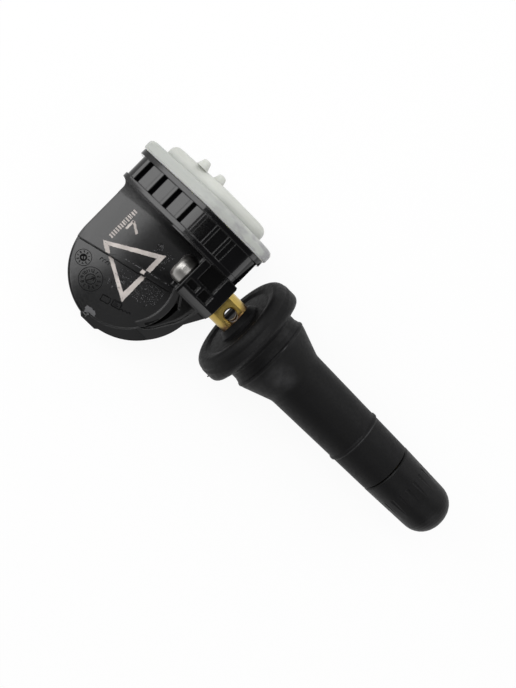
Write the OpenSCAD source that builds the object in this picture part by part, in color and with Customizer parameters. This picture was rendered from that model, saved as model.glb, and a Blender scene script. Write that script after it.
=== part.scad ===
/* [Valve stem] */
// Radius of the rubber in the groove that the wheel's hole grips
groove_r = 7; // [6.6:0.05:7.2]
// Width of the groove's flat floor
groove_w = 0.8; // [0.4:0.1:1]
// Radius of the round fillets beside the groove
groove_fillet = 0.5; // [0.3:0.05:0.6]
// Radius of the rubber flange inside the wheel
flange_r = 9.9; // [9.5:0.1:10.3]
// Place of the flange's front corner, behind the groove
flange_front = 2.7; // [2.5:0.1:3]
// Radius of the flange's front corner
flange_corner_r = 1.4; // [0.9:0.1:1.6]
// Place of the flange's back rim on the stem's axis, behind the groove
flange_back = 6.3; // [6:0.05:6.6]
// Slope of the flange's back, in degrees
back_slope = 10; // [4:1:12]
// Radius of the round back edge of the flange
flange_back_r = 1.5; // [1:0.1:1.8]
// Depth of the ring-shaped dish in the flange's back
dish_depth = 0.5; // [0.3:0.05:0.7]
// Radius of the hub of rubber round the tail
hub_r = 3.9; // [3.5:0.1:4.2]
// Height of the hub behind the flange's back rim
hub_h = 0.4; // [0.3:0.05:0.6]
// Radius of the lip in front of the groove
bulge_r = 7.45; // [7.35:0.05:7.6]
// Place of the lip, from the groove
bulge_x = 1.65; // [1.5:0.05:1.8]
// Radius of the stem where its cone begins
cone_r = 7.18; // [7:0.02:7.3]
// Radius of the stem where its cone ends
neck_r = 5.42; // [5.2:0.02:5.6]
// Place where the cone ends, from the groove
neck_x = 7.4; // [6.8:0.1:8]
// Radius of the stem at its outer end
stem_end_r = 5; // [4.7:0.05:5.1]
// Length of rubber from the groove to its outer end
stem_length = 29.7; // [28:0.1:31]
// Place of the raised seam ring, from the groove
seam_x = 21.95; // [18:0.05:24]
// Height of the seam ring over the rubber
seam_height = 0.2; // [0.1:0.02:0.3]
// Width of the seam ring
seam_width = 0.9; // [0.5:0.05:1.2]

/* [Valve tube] */
// Radius of the tube's tail
tail_r = 2.9; // [2.7:0.025:3]
// Distance from the axis to each milled flat of the tail
tail_flat = 2.29; // [2:0.02:2.5]
// Place of the tail's end, behind the groove
tail_end = 16.1; // [15.9:0.05:16.2]
// Place where the milled flats end, behind the groove
flat_end = 6.9; // [6.75:0.05:7.1]
// Radius of the cross hole in the tail
cross_hole_r = 1.1; // [0.9:0.05:1.2]
// Place of the cross hole, behind the groove
cross_hole_x = 7.85; // [7.6:0.05:8]
// Width of the chamfer at each end of the cross hole
cross_hole_chamfer = 0.25; // [0.1:0.05:0.35]
// Radius of the collar that anchors the rubber
collar_r = 3.9; // [3.6:0.1:4.3]
// Radius of the tube inside the rubber
tube_r = 3.1; // [2.95:0.05:3.3]
// Radius over the cap thread
thread_r = 3.85; // [3.75:0.05:3.9]
// Distance between two rings of the cap thread
thread_pitch = 0.8; // [0.6:0.05:1]
// Depth of the cap thread
thread_depth = 0.35; // [0.2:0.05:0.45]
// Length of the threaded end, beyond the rubber
thread_length = 10.4; // [9.9:0.1:10.8]
// Radius of the air passage
passage_r = 1.6; // [1.3:0.05:1.8]
// Radius of the chamber round the valve core
chamber_r = 2.15; // [2.05:0.05:2.3]
// Radius of the core's thread bore
core_bore_r = 2.65; // [2.5:0.05:2.8]

/* [Valve core] */
// Depth of the plug's threaded part below the tube's outer end
plug_depth = 3.5; // [3.1:0.1:3.8]
// Length of the plug's threaded part
plug_length = 2.8; // [2.4:0.1:3]
// Height of the key bar on the plug
key_height = 1.8; // [1.4:0.1:1.9]
// Width of the key bar
key_width = 1.8; // [1.5:0.1:2.2]
// Radius of the barrel
barrel_r = 1.75; // [1.65:0.05:1.85]
// Wall of the barrel
barrel_wall = 0.4; // [0.3:0.05:0.45]
// Length of the barrel
barrel_length = 7.7; // [7.2:0.1:8]
// Thickness of the spring seat at the barrel's inner end
barrel_floor = 0.7; // [0.5:0.1:0.9]
// Radius of the core pin
pin_r = 0.5; // [0.4:0.05:0.55]
// Depth of the pin's outer end below the tube's
pin_set = 0.4; // [0.3:0.05:0.45]
// Way that the pin is pressed in
pin_travel = 1.2; // [0.8:0.1:1.3]
// Radius of the cup on the pin
cup_r = 1.45; // [1.3:0.05:1.55]
// Height of the cup's seal
cup_seal_height = 1.25; // [1:0.05:1.4]
// Radius of the spring wire
wire_r = 0.13; // [0.1:0.01:0.15]
// Turns of the core spring
spring_turns = 6; // [4:1:8]

/* [Dust cap] */
// Radius of the cap at its open edge
cap_r = 5.03; // [4.8:0.01:5.1]
// Radius of the cap where its dome begins
cap_dome_r = 4.72; // [4.6:0.02:4.8]
// Length of the cap
cap_length = 13.8; // [13.5:0.1:14.2]
// Height of the cap's dome
cap_dome = 4; // [3.4:0.1:4.2]
// Number of grip flutes round the cap
flute_count = 18; // [12:1:24]
// Radius of each grip flute
flute_r = 0.55; // [0.4:0.05:0.7]
// Depth of each grip flute where it begins
flute_depth = 0.12; // [0.06:0.02:0.2]
// Thickness of the cap's seal disc
cap_seal_height = 0.8; // [0.6:0.1:1]

/* [Housing] */
// Place of the housing's left end, behind the groove
house_left = 37; // [36.7:0.1:37.3]
// Place of the housing's right end, behind the groove
house_right = 10.7; // [10.5:0.1:10.9]
// Height of the flange's front edge over the stem axis
house_front = 9.6; // [9.2:0.1:9.9]
// Corner radius of the housing's plan
plan_corner = 3; // [2.7:0.1:3.4]
// Radius of the front shoulder of the plan
shoulder_r = 5; // [4:0.2:6]
// Place of the front shoulder's centre, behind the groove
shoulder_x = 21.4; // [21:0.2:23.5]
// Depth of the left nose's centre below the stem axis
nose_z = 2.4; // [2:0.1:3]
// Level of the lid's seat over the stem axis, towards the lid
seat_y = 9.4; // [9.2:0.1:9.8]
// Thickness of the flange under the lid
flange_t = 0.9; // [0.7:0.05:1.1]
// Level of the underside of the lower band flange
band_y = 3.8; // [3.7:0.05:4]
// Thickness of the lower band flange
band_flange_t = 0.85; // [0.7:0.05:1.1]
// Setback of the lower band flange from the upper one
band_flange_set = 0.5; // [0.3:0.05:0.6]
// Setback of the ribbed wall from the flange
wall_set = 0.8; // [0.7:0.05:0.9]
// Setback of the plain corner panel from the flange
panel_set = 0.45; // [0.4:0.05:0.6]
// Setback of the ribs' faces from the flange
rib_set = 0.15; // [0.1:0.05:0.3]
// Thickness of the housing's walls
wall_t = 1.2; // [1:0.05:1.3]
// Thickness of the band's ribs
rib_t = 0.6; // [0.4:0.05:0.8]
// Distance between two of the ribs on the slanted wall
rib_pitch = 3.2; // [3.1:0.01:3.3]
// Distance between two of the ribs on the straight wall
front_rib_pitch = 2.53; // [2.3:0.02:2.6]
// Place of the first rib, behind the groove
first_rib = 34.95; // [34.8:0.05:35.1]

/* [Cell pocket] */
// Radius of the pocket's outer wall
pocket_r = 11.5; // [11.4:0.05:11.8]
// Distance from the housing's left end to the pocket's outside
pocket_set = 1.76; // [1.5:0.02:2]
// Centre of the pocket below the stem axis
pocket_y = 6.23; // [6:0.05:6.5]
// Radius on the pocket's front edge
pocket_front_r = 1.9; // [1.4:0.1:2.2]
// Radius on the pocket's back edge
pocket_back_r = 0.8; // [0.5:0.1:1]
// Depth of the swept face below the stem axis
face_z = 3; // [2.9:0.05:3.1]
// Step from the swept face to the lower face
face_step = 0.7; // [0.4:0.05:0.8]
// Radius of the sweep from the face up to the band
sweep_r = 2.2; // [1.8:0.1:2.6]
// Slope of the step line, in degrees
step_angle = 13.5; // [12:0.5:16]
// Width of the ridge along the step line
ridge_w = 0.9; // [0.6:0.05:1.2]
// Length of the ridge
ridge_length = 12.2; // [10:0.2:13]
// Height of the ridge over the swept face
ridge_h = 0.6; // [0.3:0.05:0.8]
// Radius of the fillet under the band at the pocket's left
left_fillet_r = 1.3; // [0.6:0.1:1.6]
// Width of the tab at the pocket's foot
tab_w = 3.7; // [3:0.1:4.5]
// Height of the tab below the pocket
tab_h = 0.4; // [0.3:0.05:0.7]

/* [Stem boss] */
// Place of the boss's left wall, behind the groove
boss_left = 17.46; // [17.3:0.02:17.6]
// Place of the boss's right face, behind the groove
boss_right = 10.45; // [10.3:0.05:10.6]
// Level of the boss's foot below the stem axis
boss_foot = 3.4; // [3.2:0.05:3.5]
// Height of the boss's front over the stem axis
boss_front = 6; // [5.5:0.1:6.3]
// Thickness of the thin walls in the boss
boss_wall = 0.6; // [0.4:0.05:0.7]
// Thickness of plastic over the tail
tail_cover = 0.6; // [0.4:0.05:0.7]

/* [Screw] */
// Radius of the screw's head
screw_head_r = 2.55; // [2.3:0.05:2.65]
// Height of the screw's head
screw_head_h = 2.6; // [2.2:0.1:2.8]
// Radius of the screw's shank
screw_r = 1.45; // [1.3:0.05:1.5]
// Place of the screw's point, behind the groove
screw_end = 11.2; // [11:0.1:12]

/* [Lid] */
// Thickness of the lid's plate
lid_t = 2.1; // [1.8:0.05:2.4]
// Overhang of the lid over the flange
lid_over = 0.3; // [0.2:0.05:0.4]
// Height of the lid's raised middle over the plate
lid_rise = 2.2; // [1.8:0.1:2.6]
// Setback of the raised middle from the lid's edge
lid_shelf = 3; // [2.6:0.1:3.2]
// Setback of the raised middle from the lid's back edge
lid_back_shelf = 2.6; // [2.4:0.1:2.9]
// Thickness of the lid's shell
lid_shell = 1.1; // [0.9:0.05:1.3]
// Radius of the lid's round edges
lid_edge_r = 0.8; // [0.5:0.05:0.9]
// Height of the two pips on the lid
pip_h = 1.3; // [1:0.1:1.8]

/* [Cell and board] */
// Radius of the coin cell
cell_r = 10; // [9.8:0.05:10.1]
// Thickness of the coin cell
cell_t = 3.2; // [2.8:0.05:3.3]
// Thickness of the cell's tabs
tab_t = 0.2; // [0.15:0.05:0.25]
// Width of the cell's tabs
tab_strip_w = 3; // [2:0.2:4]
// Distance of each tab from the cell's middle
tab_place = 4; // [3:0.2:4.4]
// Thickness of the circuit board
board_t = 0.8; // [0.6:0.1:1]
// Height of the board over the band's floor
board_lift = 1.8; // [1.7:0.05:2]
// Width of the pressure chip
chip_w = 3.6; // [3:0.1:3.8]
// Height of the pressure chip
chip_h = 1.1; // [0.9:0.05:1.2]
// Width of the transmitter chip
radio_w = 6; // [5:0.5:7]
// Length of the crystal's can
crystal_length = 3.2; // [2.5:0.1:3.6]
// Length of each small capacitor
chip_cap_l = 1; // [0.6:0.1:1.1]
// Length of the wake-up coil
coil_length = 9; // [7:0.5:10]
// Half of the width of the coil's square ends
coil_flange = 1.5; // [1.2:0.05:1.6]
// Half of the width of the coil's core
coil_core = 0.85; // [0.6:0.05:0.95]
// Radius of the air port
port_r = 0.6; // [0.4:0.05:0.8]

/* [Clearances] */
// Gap between pieces that are bonded or pressed together
bond_gap = 0.02; // [0.01:0.01:0.04]
// Gap round pieces that slide or screw into each other
run_gap = 0.05; // [0.03:0.01:0.08]
// Gap round pieces that are laid in loosely
lay_gap = 0.2; // [0.1:0.02:0.25]
// Gap between the cap and the rubber
cap_gap = 0.25; // [0.15:0.05:0.4]

/* [Hidden] */
$fn = 64;
eps = 0.01;

// The part lies on its back: the flange's rim, the lid's edge and the pocket share one level
back_z = -flange_r;

// Points of a round arc about (cx, cy), from angle a0 to a1 in n steps
function arc(cx, cy, r, a0, a1, n) =
    [for (i = [0:n]) let (a = a0 + (a1 - a0) * i / n) [cx + r * cos(a), cy + r * sin(a)]];

// Angle of the outward normal of the outer tangent from circle p to circle q, circles anticlockwise
function tangent(p, q) =
    let (d = [q[0] - p[0], q[1] - p[1]])
    atan2(d[1], d[0]) - 90 + asin((p[2] - q[2]) / norm(d));

// Outline of a belt round circles [x, y, r], listed anticlockwise, grown by g
function belt(c, g = 0) =
    [for (i = [0:len(c) - 1])
        let (n = len(c),
             from = tangent(c[(i + n - 1) % n], c[i]),
             to = tangent(c[i], c[(i + 1) % n]),
             turn = (to - from + 720) % 360,
             steps = max(1, ceil(turn / 11)))
        for (k = [0:steps])
            let (a = from + turn * k / steps)
            [c[i][0] + (c[i][2] + g) * cos(a), c[i][1] + (c[i][2] + g) * sin(a)]];

// Places along the stem axis that follow from the rubber's length
tube_end = stem_length + thread_length;
plug_top = tube_end - plug_depth;
plug_x = plug_top - plug_length;
pin_end = tube_end - pin_set;

// Turns a profile of (radius, place) points about the stem axis
module spun() {
    rotate([0, 90, 0]) rotate_extrude() children();
}

// A rod of radius r on the stem axis, from x0 to x1
module rod(r, x0, x1) {
    translate([x0, 0, 0]) rotate([0, 90, 0]) cylinder(r = r, h = x1 - x0);
}

// A ring on the stem axis, from x0 to x1
module tube_ring(r_out, r_in, x0, x1) {
    difference() {
        rod(r_out, x0, x1);
        rod(r_in, x0 - 1, x1 + 1);
    }
}

// A plan outline, drawn in X and Z, extruded from level y0 to y1
module slab(y0, y1) {
    translate([0, y1, 0]) rotate([90, 0, 0]) linear_extrude(y1 - y0) children();
}

// A box given by its lowest and highest corners
module span(low, high) {
    translate(low) cube(high - low);
}

// A section drawn in Y and Z, extruded from place x0 to x1
module along(x0, x1) {
    translate([x0, 0, 0]) rotate([90, 0, 90]) linear_extrude(x1 - x0) children();
}

// Plan of the housing's upper flange, as circles [x, z, r]
house_back = back_z + lid_over;
plan = [
    [-house_left + plan_corner, house_back + plan_corner, plan_corner],
    [-house_right - plan_corner, house_back + plan_corner, plan_corner],
    [-house_right - plan_corner, house_front - plan_corner, plan_corner],
    [-shoulder_x, house_front - shoulder_r, shoulder_r],
    [-house_left + plan_corner, -nose_z, plan_corner]
];

// Rubber stem: flange, groove, lip, cone and tapered neck, moulded round the valve tube
collar_x0 = -flange_back + dish_depth + 1.4;
collar_x1 = collar_x0 + 2;
bore_r = tail_r + bond_gap;
hub_x = -flange_back - hub_h;

module rubber_stem() {
    color([0.07, 0.07, 0.075]) {
        intersection() {
            stem_body();
            translate([-flange_back, 0, 0]) rotate([0, back_slope, 0]) back_form();
        }
        spun() polygon([[bore_r, hub_x], [bore_r + 0.4, hub_x], [hub_r + 0.2, -flange_back + 0.6],
                        [hub_r + 0.2, collar_x0 - 0.3], [bore_r, collar_x0 - 0.3]]);
    }
}

// The whole stem, with a flange that is too long at its back
module stem_body() {
    half = groove_w / 2;
    lip_r = 0.45;
    corner_c = flange_r - flange_corner_r;
    spun() polygon(concat(
        [[bore_r, hub_x], [bore_r, collar_x0 - bond_gap],
         [collar_r + bond_gap, collar_x0 - bond_gap], [collar_r + bond_gap, collar_x1 + bond_gap],
         [tube_r + bond_gap, collar_x1 + bond_gap], [tube_r + bond_gap, stem_length]],
        [[stem_end_r, stem_length]],
        seam_bump(),
        arc(neck_r + 3, neck_x + 0.6, 3, 180, 200, 4),
        [[cone_r, bulge_x + 0.85]],
        arc(bulge_r - lip_r, bulge_x, lip_r, 45, -60, 6),
        arc(groove_r + groove_fillet, half, groove_fillet, 150, 180, 3),
        arc(groove_r + groove_fillet, -half, groove_fillet, 180, 240, 5),
        arc(corner_c, -flange_front, flange_corner_r, 78, 0, 6),
        [[flange_r, -flange_back - flange_r], [bore_r, -flange_back - flange_r]]
    ));
}

// Form that rounds and dishes the flange's back, about the middle of its sloping rim
module back_form() {
    rim_c = flange_r - 0.1 - flange_back_r;
    wide = 1.5 * flange_r;
    spun() polygon(concat(
        [[0, dish_depth], [rim_c - 1.6, dish_depth], [rim_c - 0.9, 0.15]],
        arc(rim_c, flange_back_r, flange_back_r, -105, 0, 8),
        [[wide, flange_back_r + 0.6 * wide], [wide, 2 * stem_length], [0, 2 * stem_length]]));
}

// Raised ring where the two halves of the mould met the neck
function neck_at(x) = stem_end_r + (neck_r - stem_end_r) * (stem_length - x) / (stem_length - neck_x);
function seam_bump() =
    let (r = neck_at(seam_x), w = seam_width / 2)
    [[neck_at(seam_x + w), seam_x + w], [r + seam_height, seam_x + w / 3],
     [r + seam_height, seam_x - w / 3], [neck_at(seam_x - w), seam_x - w]];

// Valve tube: flatted tail with the cross hole, anchor collar and threaded outer end
module valve_tube() {
    color([0.71, 0.6, 0.3]) difference() {
        union() {
            intersection() {
                rod(tail_r, -tail_end, -flat_end);
                span([-tail_end, -flange_r, -tail_flat], [-flat_end, flange_r, tail_flat]);
            }
            rod(tail_r, -flat_end, collar_x0);
            rod(collar_r, collar_x0, collar_x1);
            rod(tube_r, collar_x1, stem_length);
            cap_thread();
        }
        rod(passage_r, -cross_hole_x, tube_end);
        rod(chamber_r, cup_end - pin_travel - 1.4, tube_end);
        rod(core_bore_r, plug_x - 0.5, tube_end + 1);
        rod(screw_r + run_gap, -tail_end - 1, -screw_end + 0.4);
        cross_hole();
    }
}

// Rings of the cap thread, with a plain start at the rubber and a chamfer at the tube's end
module cap_thread() {
    rings = floor((thread_length - 1.2) / thread_pitch);
    root = thread_r - thread_depth;
    spun() polygon(concat(
        [[0, stem_length], [root, stem_length], [root, tube_end - rings * thread_pitch - 0.6]],
        [for (i = [0:rings - 1], step = [0, 1, 2])
            let (x = tube_end - 0.6 - (rings - i) * thread_pitch)
            step == 2 ? [root, x + thread_pitch] : [thread_r, x + (0.4 + 0.2 * step) * thread_pitch]],
        [[root - 0.1, tube_end], [0, tube_end]]));
}

// Hole across the tail, with a chamfer at each flat
module cross_hole() {
    mouth_r = cross_hole_r + cross_hole_chamfer;
    translate([-cross_hole_x, 0, -tail_r]) cylinder(r = cross_hole_r, h = 2 * tail_r);
    for (side = [0, 180])
        translate([-cross_hole_x, 0, 0]) rotate([side, 0, 0])
            translate([0, 0, tail_flat - cross_hole_chamfer])
                cylinder(r1 = cross_hole_r, r2 = mouth_r + cross_hole_chamfer, h = 2 * cross_hole_chamfer);
}

// Valve core: the plug screws into the tube and carries the barrel
plug_r = core_bore_r - run_gap;
plug_bore_r = barrel_r - barrel_wall;
barrel_x = plug_x - barrel_length;
pin_hole_r = pin_r + run_gap;

module core_plug() {
    color([0.76, 0.66, 0.36]) difference() {
        union() {
            rod(plug_r, plug_x, plug_top);
            intersection() {
                rod(plug_r - 0.3, plug_x, plug_top + key_height);
                span([plug_x, -plug_r, -key_width / 2], [plug_top + key_height, plug_r, key_width / 2]);
            }
        }
        rod(plug_bore_r, plug_x - 1, plug_top - 0.9);
        rod(pin_hole_r, plug_x - 1, plug_top + key_height + 1);
        for (side = [-1, 1])
            translate([0, 0, side * 1.75]) rod(0.6, plug_x - 1, plug_top + key_height + 1);
    }
}

module core_barrel() {
    color([0.74, 0.63, 0.33]) difference() {
        rod(barrel_r, barrel_x, plug_x);
        rod(plug_bore_r, barrel_x + barrel_floor, plug_x + 1);
        rod(spring_mean_r - 2 * wire_r, barrel_x - 1, plug_x);
    }
}

module core_barrel_seal() {
    color([0.6, 0.12, 0.1])
        tube_ring(chamber_r - bond_gap, barrel_r + bond_gap, barrel_x + 2.6, barrel_x + 4.2);
}

// Pin with the shoulder that the spring pushes
spring_mean_r = plug_bore_r - 2 * wire_r;
spring_x0 = barrel_x + barrel_floor;
shoulder_x0 = plug_x - 1.5;
cup_x = barrel_x - run_gap - cup_seal_height;
cup_end = cup_x - 0.4;

module core_pin() {
    color([0.78, 0.7, 0.42]) {
        rod(pin_r, cup_x, pin_end);
        rod(spring_mean_r + wire_r / 2, shoulder_x0, shoulder_x0 + 0.5);
    }
}

// Point k of the wire's run, which is straight round a helix about the stem axis
spring_steps = 10;
spring_x1 = shoulder_x0 - wire_r;
function coil_point(k, a) =
    let (turn = 360 * k / spring_steps,
         r = spring_mean_r + wire_r * cos(a),
         rise = (spring_x1 - spring_x0 - wire_r) * k / (spring_steps * spring_turns))
    [spring_x0 + wire_r + rise + wire_r * sin(a), r * cos(turn), r * sin(turn)];

module core_spring() {
    wire_sides = 6;
    rings = spring_steps * spring_turns;
    points = [for (k = [0:rings], s = [0:wire_sides - 1]) coil_point(k, 360 * s / wire_sides)];
    sides = [for (k = [0:rings - 1], s = [0:wire_sides - 1])
        let (t = (s + 1) % wire_sides)
        [k * wire_sides + s, k * wire_sides + t, (k + 1) * wire_sides + t, (k + 1) * wire_sides + s]];
    first = [for (s = [wire_sides - 1:-1:0]) s];
    last = [for (s = [0:wire_sides - 1]) rings * wire_sides + s];
    color([0.8, 0.8, 0.8]) polyhedron(points, concat(sides, [first, last]));
}

module core_cup() {
    color([0.74, 0.63, 0.33]) difference() {
        rod(cup_r, cup_end, cup_x + 0.7 * cup_seal_height);
        rod(cup_r - 0.2, cup_x, barrel_x);
    }
}

module core_cup_seal() {
    color([0.08, 0.08, 0.08])
        tube_ring(cup_r - 0.2 - bond_gap, pin_r + bond_gap, cup_x, cup_x + cup_seal_height);
}

// Dust cap: tapered, with a round dome and grip flutes, open towards the rubber
cap_x = stem_length + cap_gap;
cap_end = cap_x + cap_length;
cap_bore_r = thread_r + run_gap;
cap_floor = tube_end + run_gap + cap_seal_height;

module dust_cap() {
    dome_x = cap_end - cap_dome;
    edge = 0.25;
    flute_x = dome_x - 6;
    flute_at = cap_dome_r + (cap_r - cap_dome_r) * (dome_x - flute_x) / (dome_x - cap_x);
    color([0.06, 0.06, 0.065]) difference() {
        spun() polygon(concat(
            [[0, cap_x], [cap_r - edge, cap_x], [cap_r, cap_x + edge]],
            [for (i = [0:9])
                let (a = 9 * i)
                [cap_dome_r * pow(cos(a), 0.8), dome_x + cap_dome * sin(a)]],
            [[0, cap_end]]
        ));
        rod(cap_bore_r, cap_x - 1, cap_floor);
        for (i = [0:flute_count - 1])
            rotate([360 * i / flute_count, 0, 0])
                translate([0, 0, flute_at + flute_r - flute_depth]) rod(flute_r, flute_x, cap_end);
    }
}

module cap_seal() {
    color([0.16, 0.16, 0.17])
        tube_ring(cap_bore_r - bond_gap, pin_r + 0.6, tube_end + run_gap, cap_floor);
}

// Cell pocket: a round pocket with straight sides, in plan seen from the front
pocket_x = house_left - pocket_set - pocket_r;
pocket_c = [-pocket_x, -pocket_y];
cell_room = cell_r + lay_gap;
cell_z0 = back_z + wall_t + tab_t + lay_gap / 2;
cell_z1 = cell_z0 + cell_t;
room_z0 = cell_z0 - tab_t - lay_gap / 2;
room_z1 = cell_z1 + tab_t + lay_gap / 2;
low_face_z = -face_z - face_step;

function pocket_side() = concat(
    arc(pocket_r - pocket_back_r, back_z + pocket_back_r, pocket_back_r, -90, 0, 4),
    arc(pocket_r - pocket_front_r, -face_z - pocket_front_r, pocket_front_r, 0, 90, 6));

module pocket_body() {
    side = pocket_side();
    left = [for (i = [len(side) - 1:-1:0]) [-side[i][0], side[i][1]]];
    translate([pocket_c[0], pocket_c[1], 0])
        rotate_extrude($fn = 96) polygon(concat([[0, back_z]], side, [[0, -face_z]]));
    translate([pocket_c[0], 0, 0]) slab(pocket_c[1], band_y + eps) polygon(concat(side, left));
    translate([pocket_c[0], pocket_c[1] - pocket_r, back_z + 1]) foot_tab();
}

// Tab at the foot of the pocket, with slanted sides
module foot_tab() {
    w = tab_w / 2;
    linear_extrude(low_face_z - back_z - 2)
        polygon([[-w - 0.9, 1], [-w - 0.2, 0], [-w + 0.3, -tab_h], [w - 0.3, -tab_h], [w + 0.2, 0], [w + 0.9, 1]]);
}

// Sweep from the face up to the band, kept inside the band's plan
module sweep() {
    sweep_y = band_y - 0.3 - sweep_r;
    intersection() {
        along(-house_left, -boss_right) polygon(concat(
            [[sweep_y, -face_z - 1]],
            arc(sweep_y, -face_z + sweep_r, sweep_r, -90, 0, 10),
            [[band_y - 0.3, house_front], [band_y + eps, house_front], [band_y + eps, -face_z - 1]]));
        slab(sweep_y - 1, band_y + 1) polygon(belt(plan, -pocket_set));
    }
}

// Small fillet under the band along the pocket's left wall
module left_fillet() {
    wall_x = -pocket_x - pocket_r;
    translate([0, 0, back_z + 2]) linear_extrude(-back_z - 2 - nose_z)
        polygon(concat([[wall_x + 0.5, band_y + eps], [wall_x - left_fillet_r, band_y + eps]],
            arc(wall_x - left_fillet_r, band_y - left_fillet_r, left_fillet_r, 90, 0, 6),
            [[wall_x + 0.5, band_y - left_fillet_r]]));
}

// Band: ribbed wall between two flanges, with a plain panel round the front right corner
module band() {
    low = band_y + band_flange_t;
    slab(band_y, seat_y) polygon(belt(plan, -wall_set));
    slab(seat_y - flange_t, seat_y) polygon(belt(plan));
    // The back is plain and flush, where the part lies
    intersection() {
        slab(band_y, seat_y) polygon(belt(plan));
        span([-house_left + plan_corner, band_y, back_z], [-house_right - plan_corner, seat_y, room_z0 + 2]);
    }
    slab(band_y, low) polygon(belt(plan, -band_flange_set));
    intersection() {
        slab(low - eps, seat_y) polygon(belt(plan, -rib_set));
        union() {
            for (i = [0:rib_count - 1])
                let (x = rib_at(i))
                span([x - rib_t / 2, 0, back_z], [x + rib_t / 2, seat_y, house_front]);
        }
    }
    intersection() {
        slab(low - eps, seat_y) polygon(belt(plan, -panel_set));
        span([panel_x, 0, back_z], [0, seat_y, house_front]);
    }
}
rib_count = 7;
slant_ribs = 4;
function rib_at(i) = -first_rib + min(i, slant_ribs) * rib_pitch + max(i - slant_ribs, 0) * front_rib_pitch;
panel_x = rib_at(rib_count - 1) + rib_t / 2 + 0.95;

// Boss that takes the tail, with cored pockets in its front
boss_corner = [-house_right - 1.7, -pocket_y - 0.7];
module boss_body() {
    low = -boss_foot;
    translate([0, 0, back_z + 1.5]) linear_extrude(boss_front - back_z - 1.5)
        polygon([[-boss_left, band_y + eps], [-boss_left, low], [-boss_right - 0.15, low], [-boss_right, low + 0.6],
                 [-boss_right, band_y - 0.4], [-boss_right - 0.2, band_y + eps]]);
}

// Walls that run down from the boss: the rim round the lower face and the outer gusset
rim_c = [pocket_c[0] - 1.06, pocket_c[1] - 1.17];
rim_r = pocket_r - 3.2;
rim_t = 1;
rim_low = 4.9;
module gussets() {
    intersection() {
        translate([0, 0, back_z + 1.5]) linear_extrude(boss_front - back_z) difference() {
            union() {
                translate(pocket_c) circle(r = pocket_r - 0.05, $fn = 96);
                polygon([[-pocket_x, -boss_foot + 0.1], [-pocket_x, -pocket_y], boss_corner,
                         [-boss_right - 0.15, -boss_foot + 0.1]]);
            }
            translate(rim_c) circle(r = rim_r, $fn = 96);
            translate(rim_c) intersection() {
                circle(r = rim_r + rim_t, $fn = 96);
                translate([-2 * rim_r, -2 * rim_r]) square([4 * rim_r, 2 * rim_r - rim_low]);
            }
            translate([-boss_left - 30, -boss_foot]) square([30, 30]);
        }
        along(-pocket_x - 1, 0) polygon([
            [-pocket_y - pocket_r - 1, back_z], [-pocket_y - pocket_r - 1, low_face_z + 0.8],
            [-13, low_face_z + 0.8], [-boss_foot - 0.2, boss_front - 2.6], [band_y, boss_front - 2.6], [band_y, back_z]]);
    }
}

// Deep wedge between the rim and the gusset, with a thin web across its top corner
module wedge_pocket() {
    floor_z = room_z1 + wall_t - 0.3;
    top = -boss_foot - 0.1;
    gusset_x = -boss_right - 1.75;
    translate([0, 0, floor_z]) linear_extrude(boss_front - floor_z) difference() {
        polygon([[-boss_left + 0.5, top], [gusset_x, top], [gusset_x - 0.3, top - 1.5],
                 [gusset_x - 0.6, top - 3], [gusset_x - 1.1, top - 4.2], [gusset_x - 1.9, top - 5.5],
                 [gusset_x - 2.9, top - 7.3], [gusset_x - 3.9, top - 8.4], [gusset_x - 4.6, top - 8.9]]);
        translate(rim_c) circle(r = rim_r + rim_t, $fn = 96);
        polygon([[-boss_left + 1.2, top + 0.1], [-boss_left + 1.7, top + 0.1], [-boss_left + 3.1, top - 1.9],
                 [-boss_left + 2.6, top - 1.9]]);
    }
}

// Pockets cored into the boss's front: one tall one and two small ones
deck_y = 0.37;
module boss_pockets() {
    floor_z = tail_flat + tail_cover;
    inner_left = -boss_left + 1.36;
    inner_right = -boss_right - 1.8;
    small_top = deck_y - boss_wall;
    small_left = -boss_left + 0.5;
    small_w = 2.1;
    post_x = small_left + small_w + boss_wall;
    slope_y = small_top - 1.85;
    translate([0, 0, floor_z]) {
        span([inner_left, deck_y, 0], [inner_right - 0.35, band_y, boss_front]);
        span([small_left, small_top - 1.25, 0], [small_left + small_w, small_top, boss_front]);
        span([post_x, small_top - 1.5, 0], [inner_right, small_top + 0.2, boss_front]);
    }
    // The foot of the boss falls away towards the wedge
    along(-boss_left + 0.6, 0) polygon([
        [-boss_foot - 1, boss_front - 2.6], [-boss_foot + 0.2, boss_front - 1.9],
        [slope_y, boss_front - 0.4], [slope_y, boss_front + 1], [-boss_foot - 1, boss_front + 1]]);
}

// Cut that drops the lower face below the swept one, along the slanted step line
step_start = [-boss_left, -boss_foot - 1.05];
module step_cut() {
    translate([step_start[0], step_start[1], low_face_z]) rotate(step_angle)
        translate([-30, -30, 0]) cube([32, 30, 20]);
}

module ridge() {
    x1 = -ridge_length;
    right = 0.6;
    translate([step_start[0], step_start[1], -face_z - 1]) rotate(step_angle)
        linear_extrude(1 + ridge_h)
            polygon([[right, 0], [x1, 0], [x1 + 0.3, 0.2 * ridge_w], [x1 + 1.2, 0.65 * ridge_w],
                     [x1 + 2.6, ridge_w], [right, ridge_w]]);
}

// Low heel between the boss and the face, under the screw's head
heel_l = 0.85;
module heel() {
    span([-boss_left - heel_l, -boss_foot, -face_z - 1],
        [-boss_left + eps, -screw_head_r - lay_gap, -face_z + heel_l]);
}

// Plan of the board's room, wider at the back where the cell's tabs come up, inset by a gap
inner_g = -wall_set - wall_t;
module room_plan(gap) {
    w = tab_place + tab_strip_w / 2 + 1 - gap;
    polygon(belt(plan, inner_g - gap));
    translate([-pocket_x - w, room_z0 + gap]) square([2 * w, -room_z0 - nose_z]);
}

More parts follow.
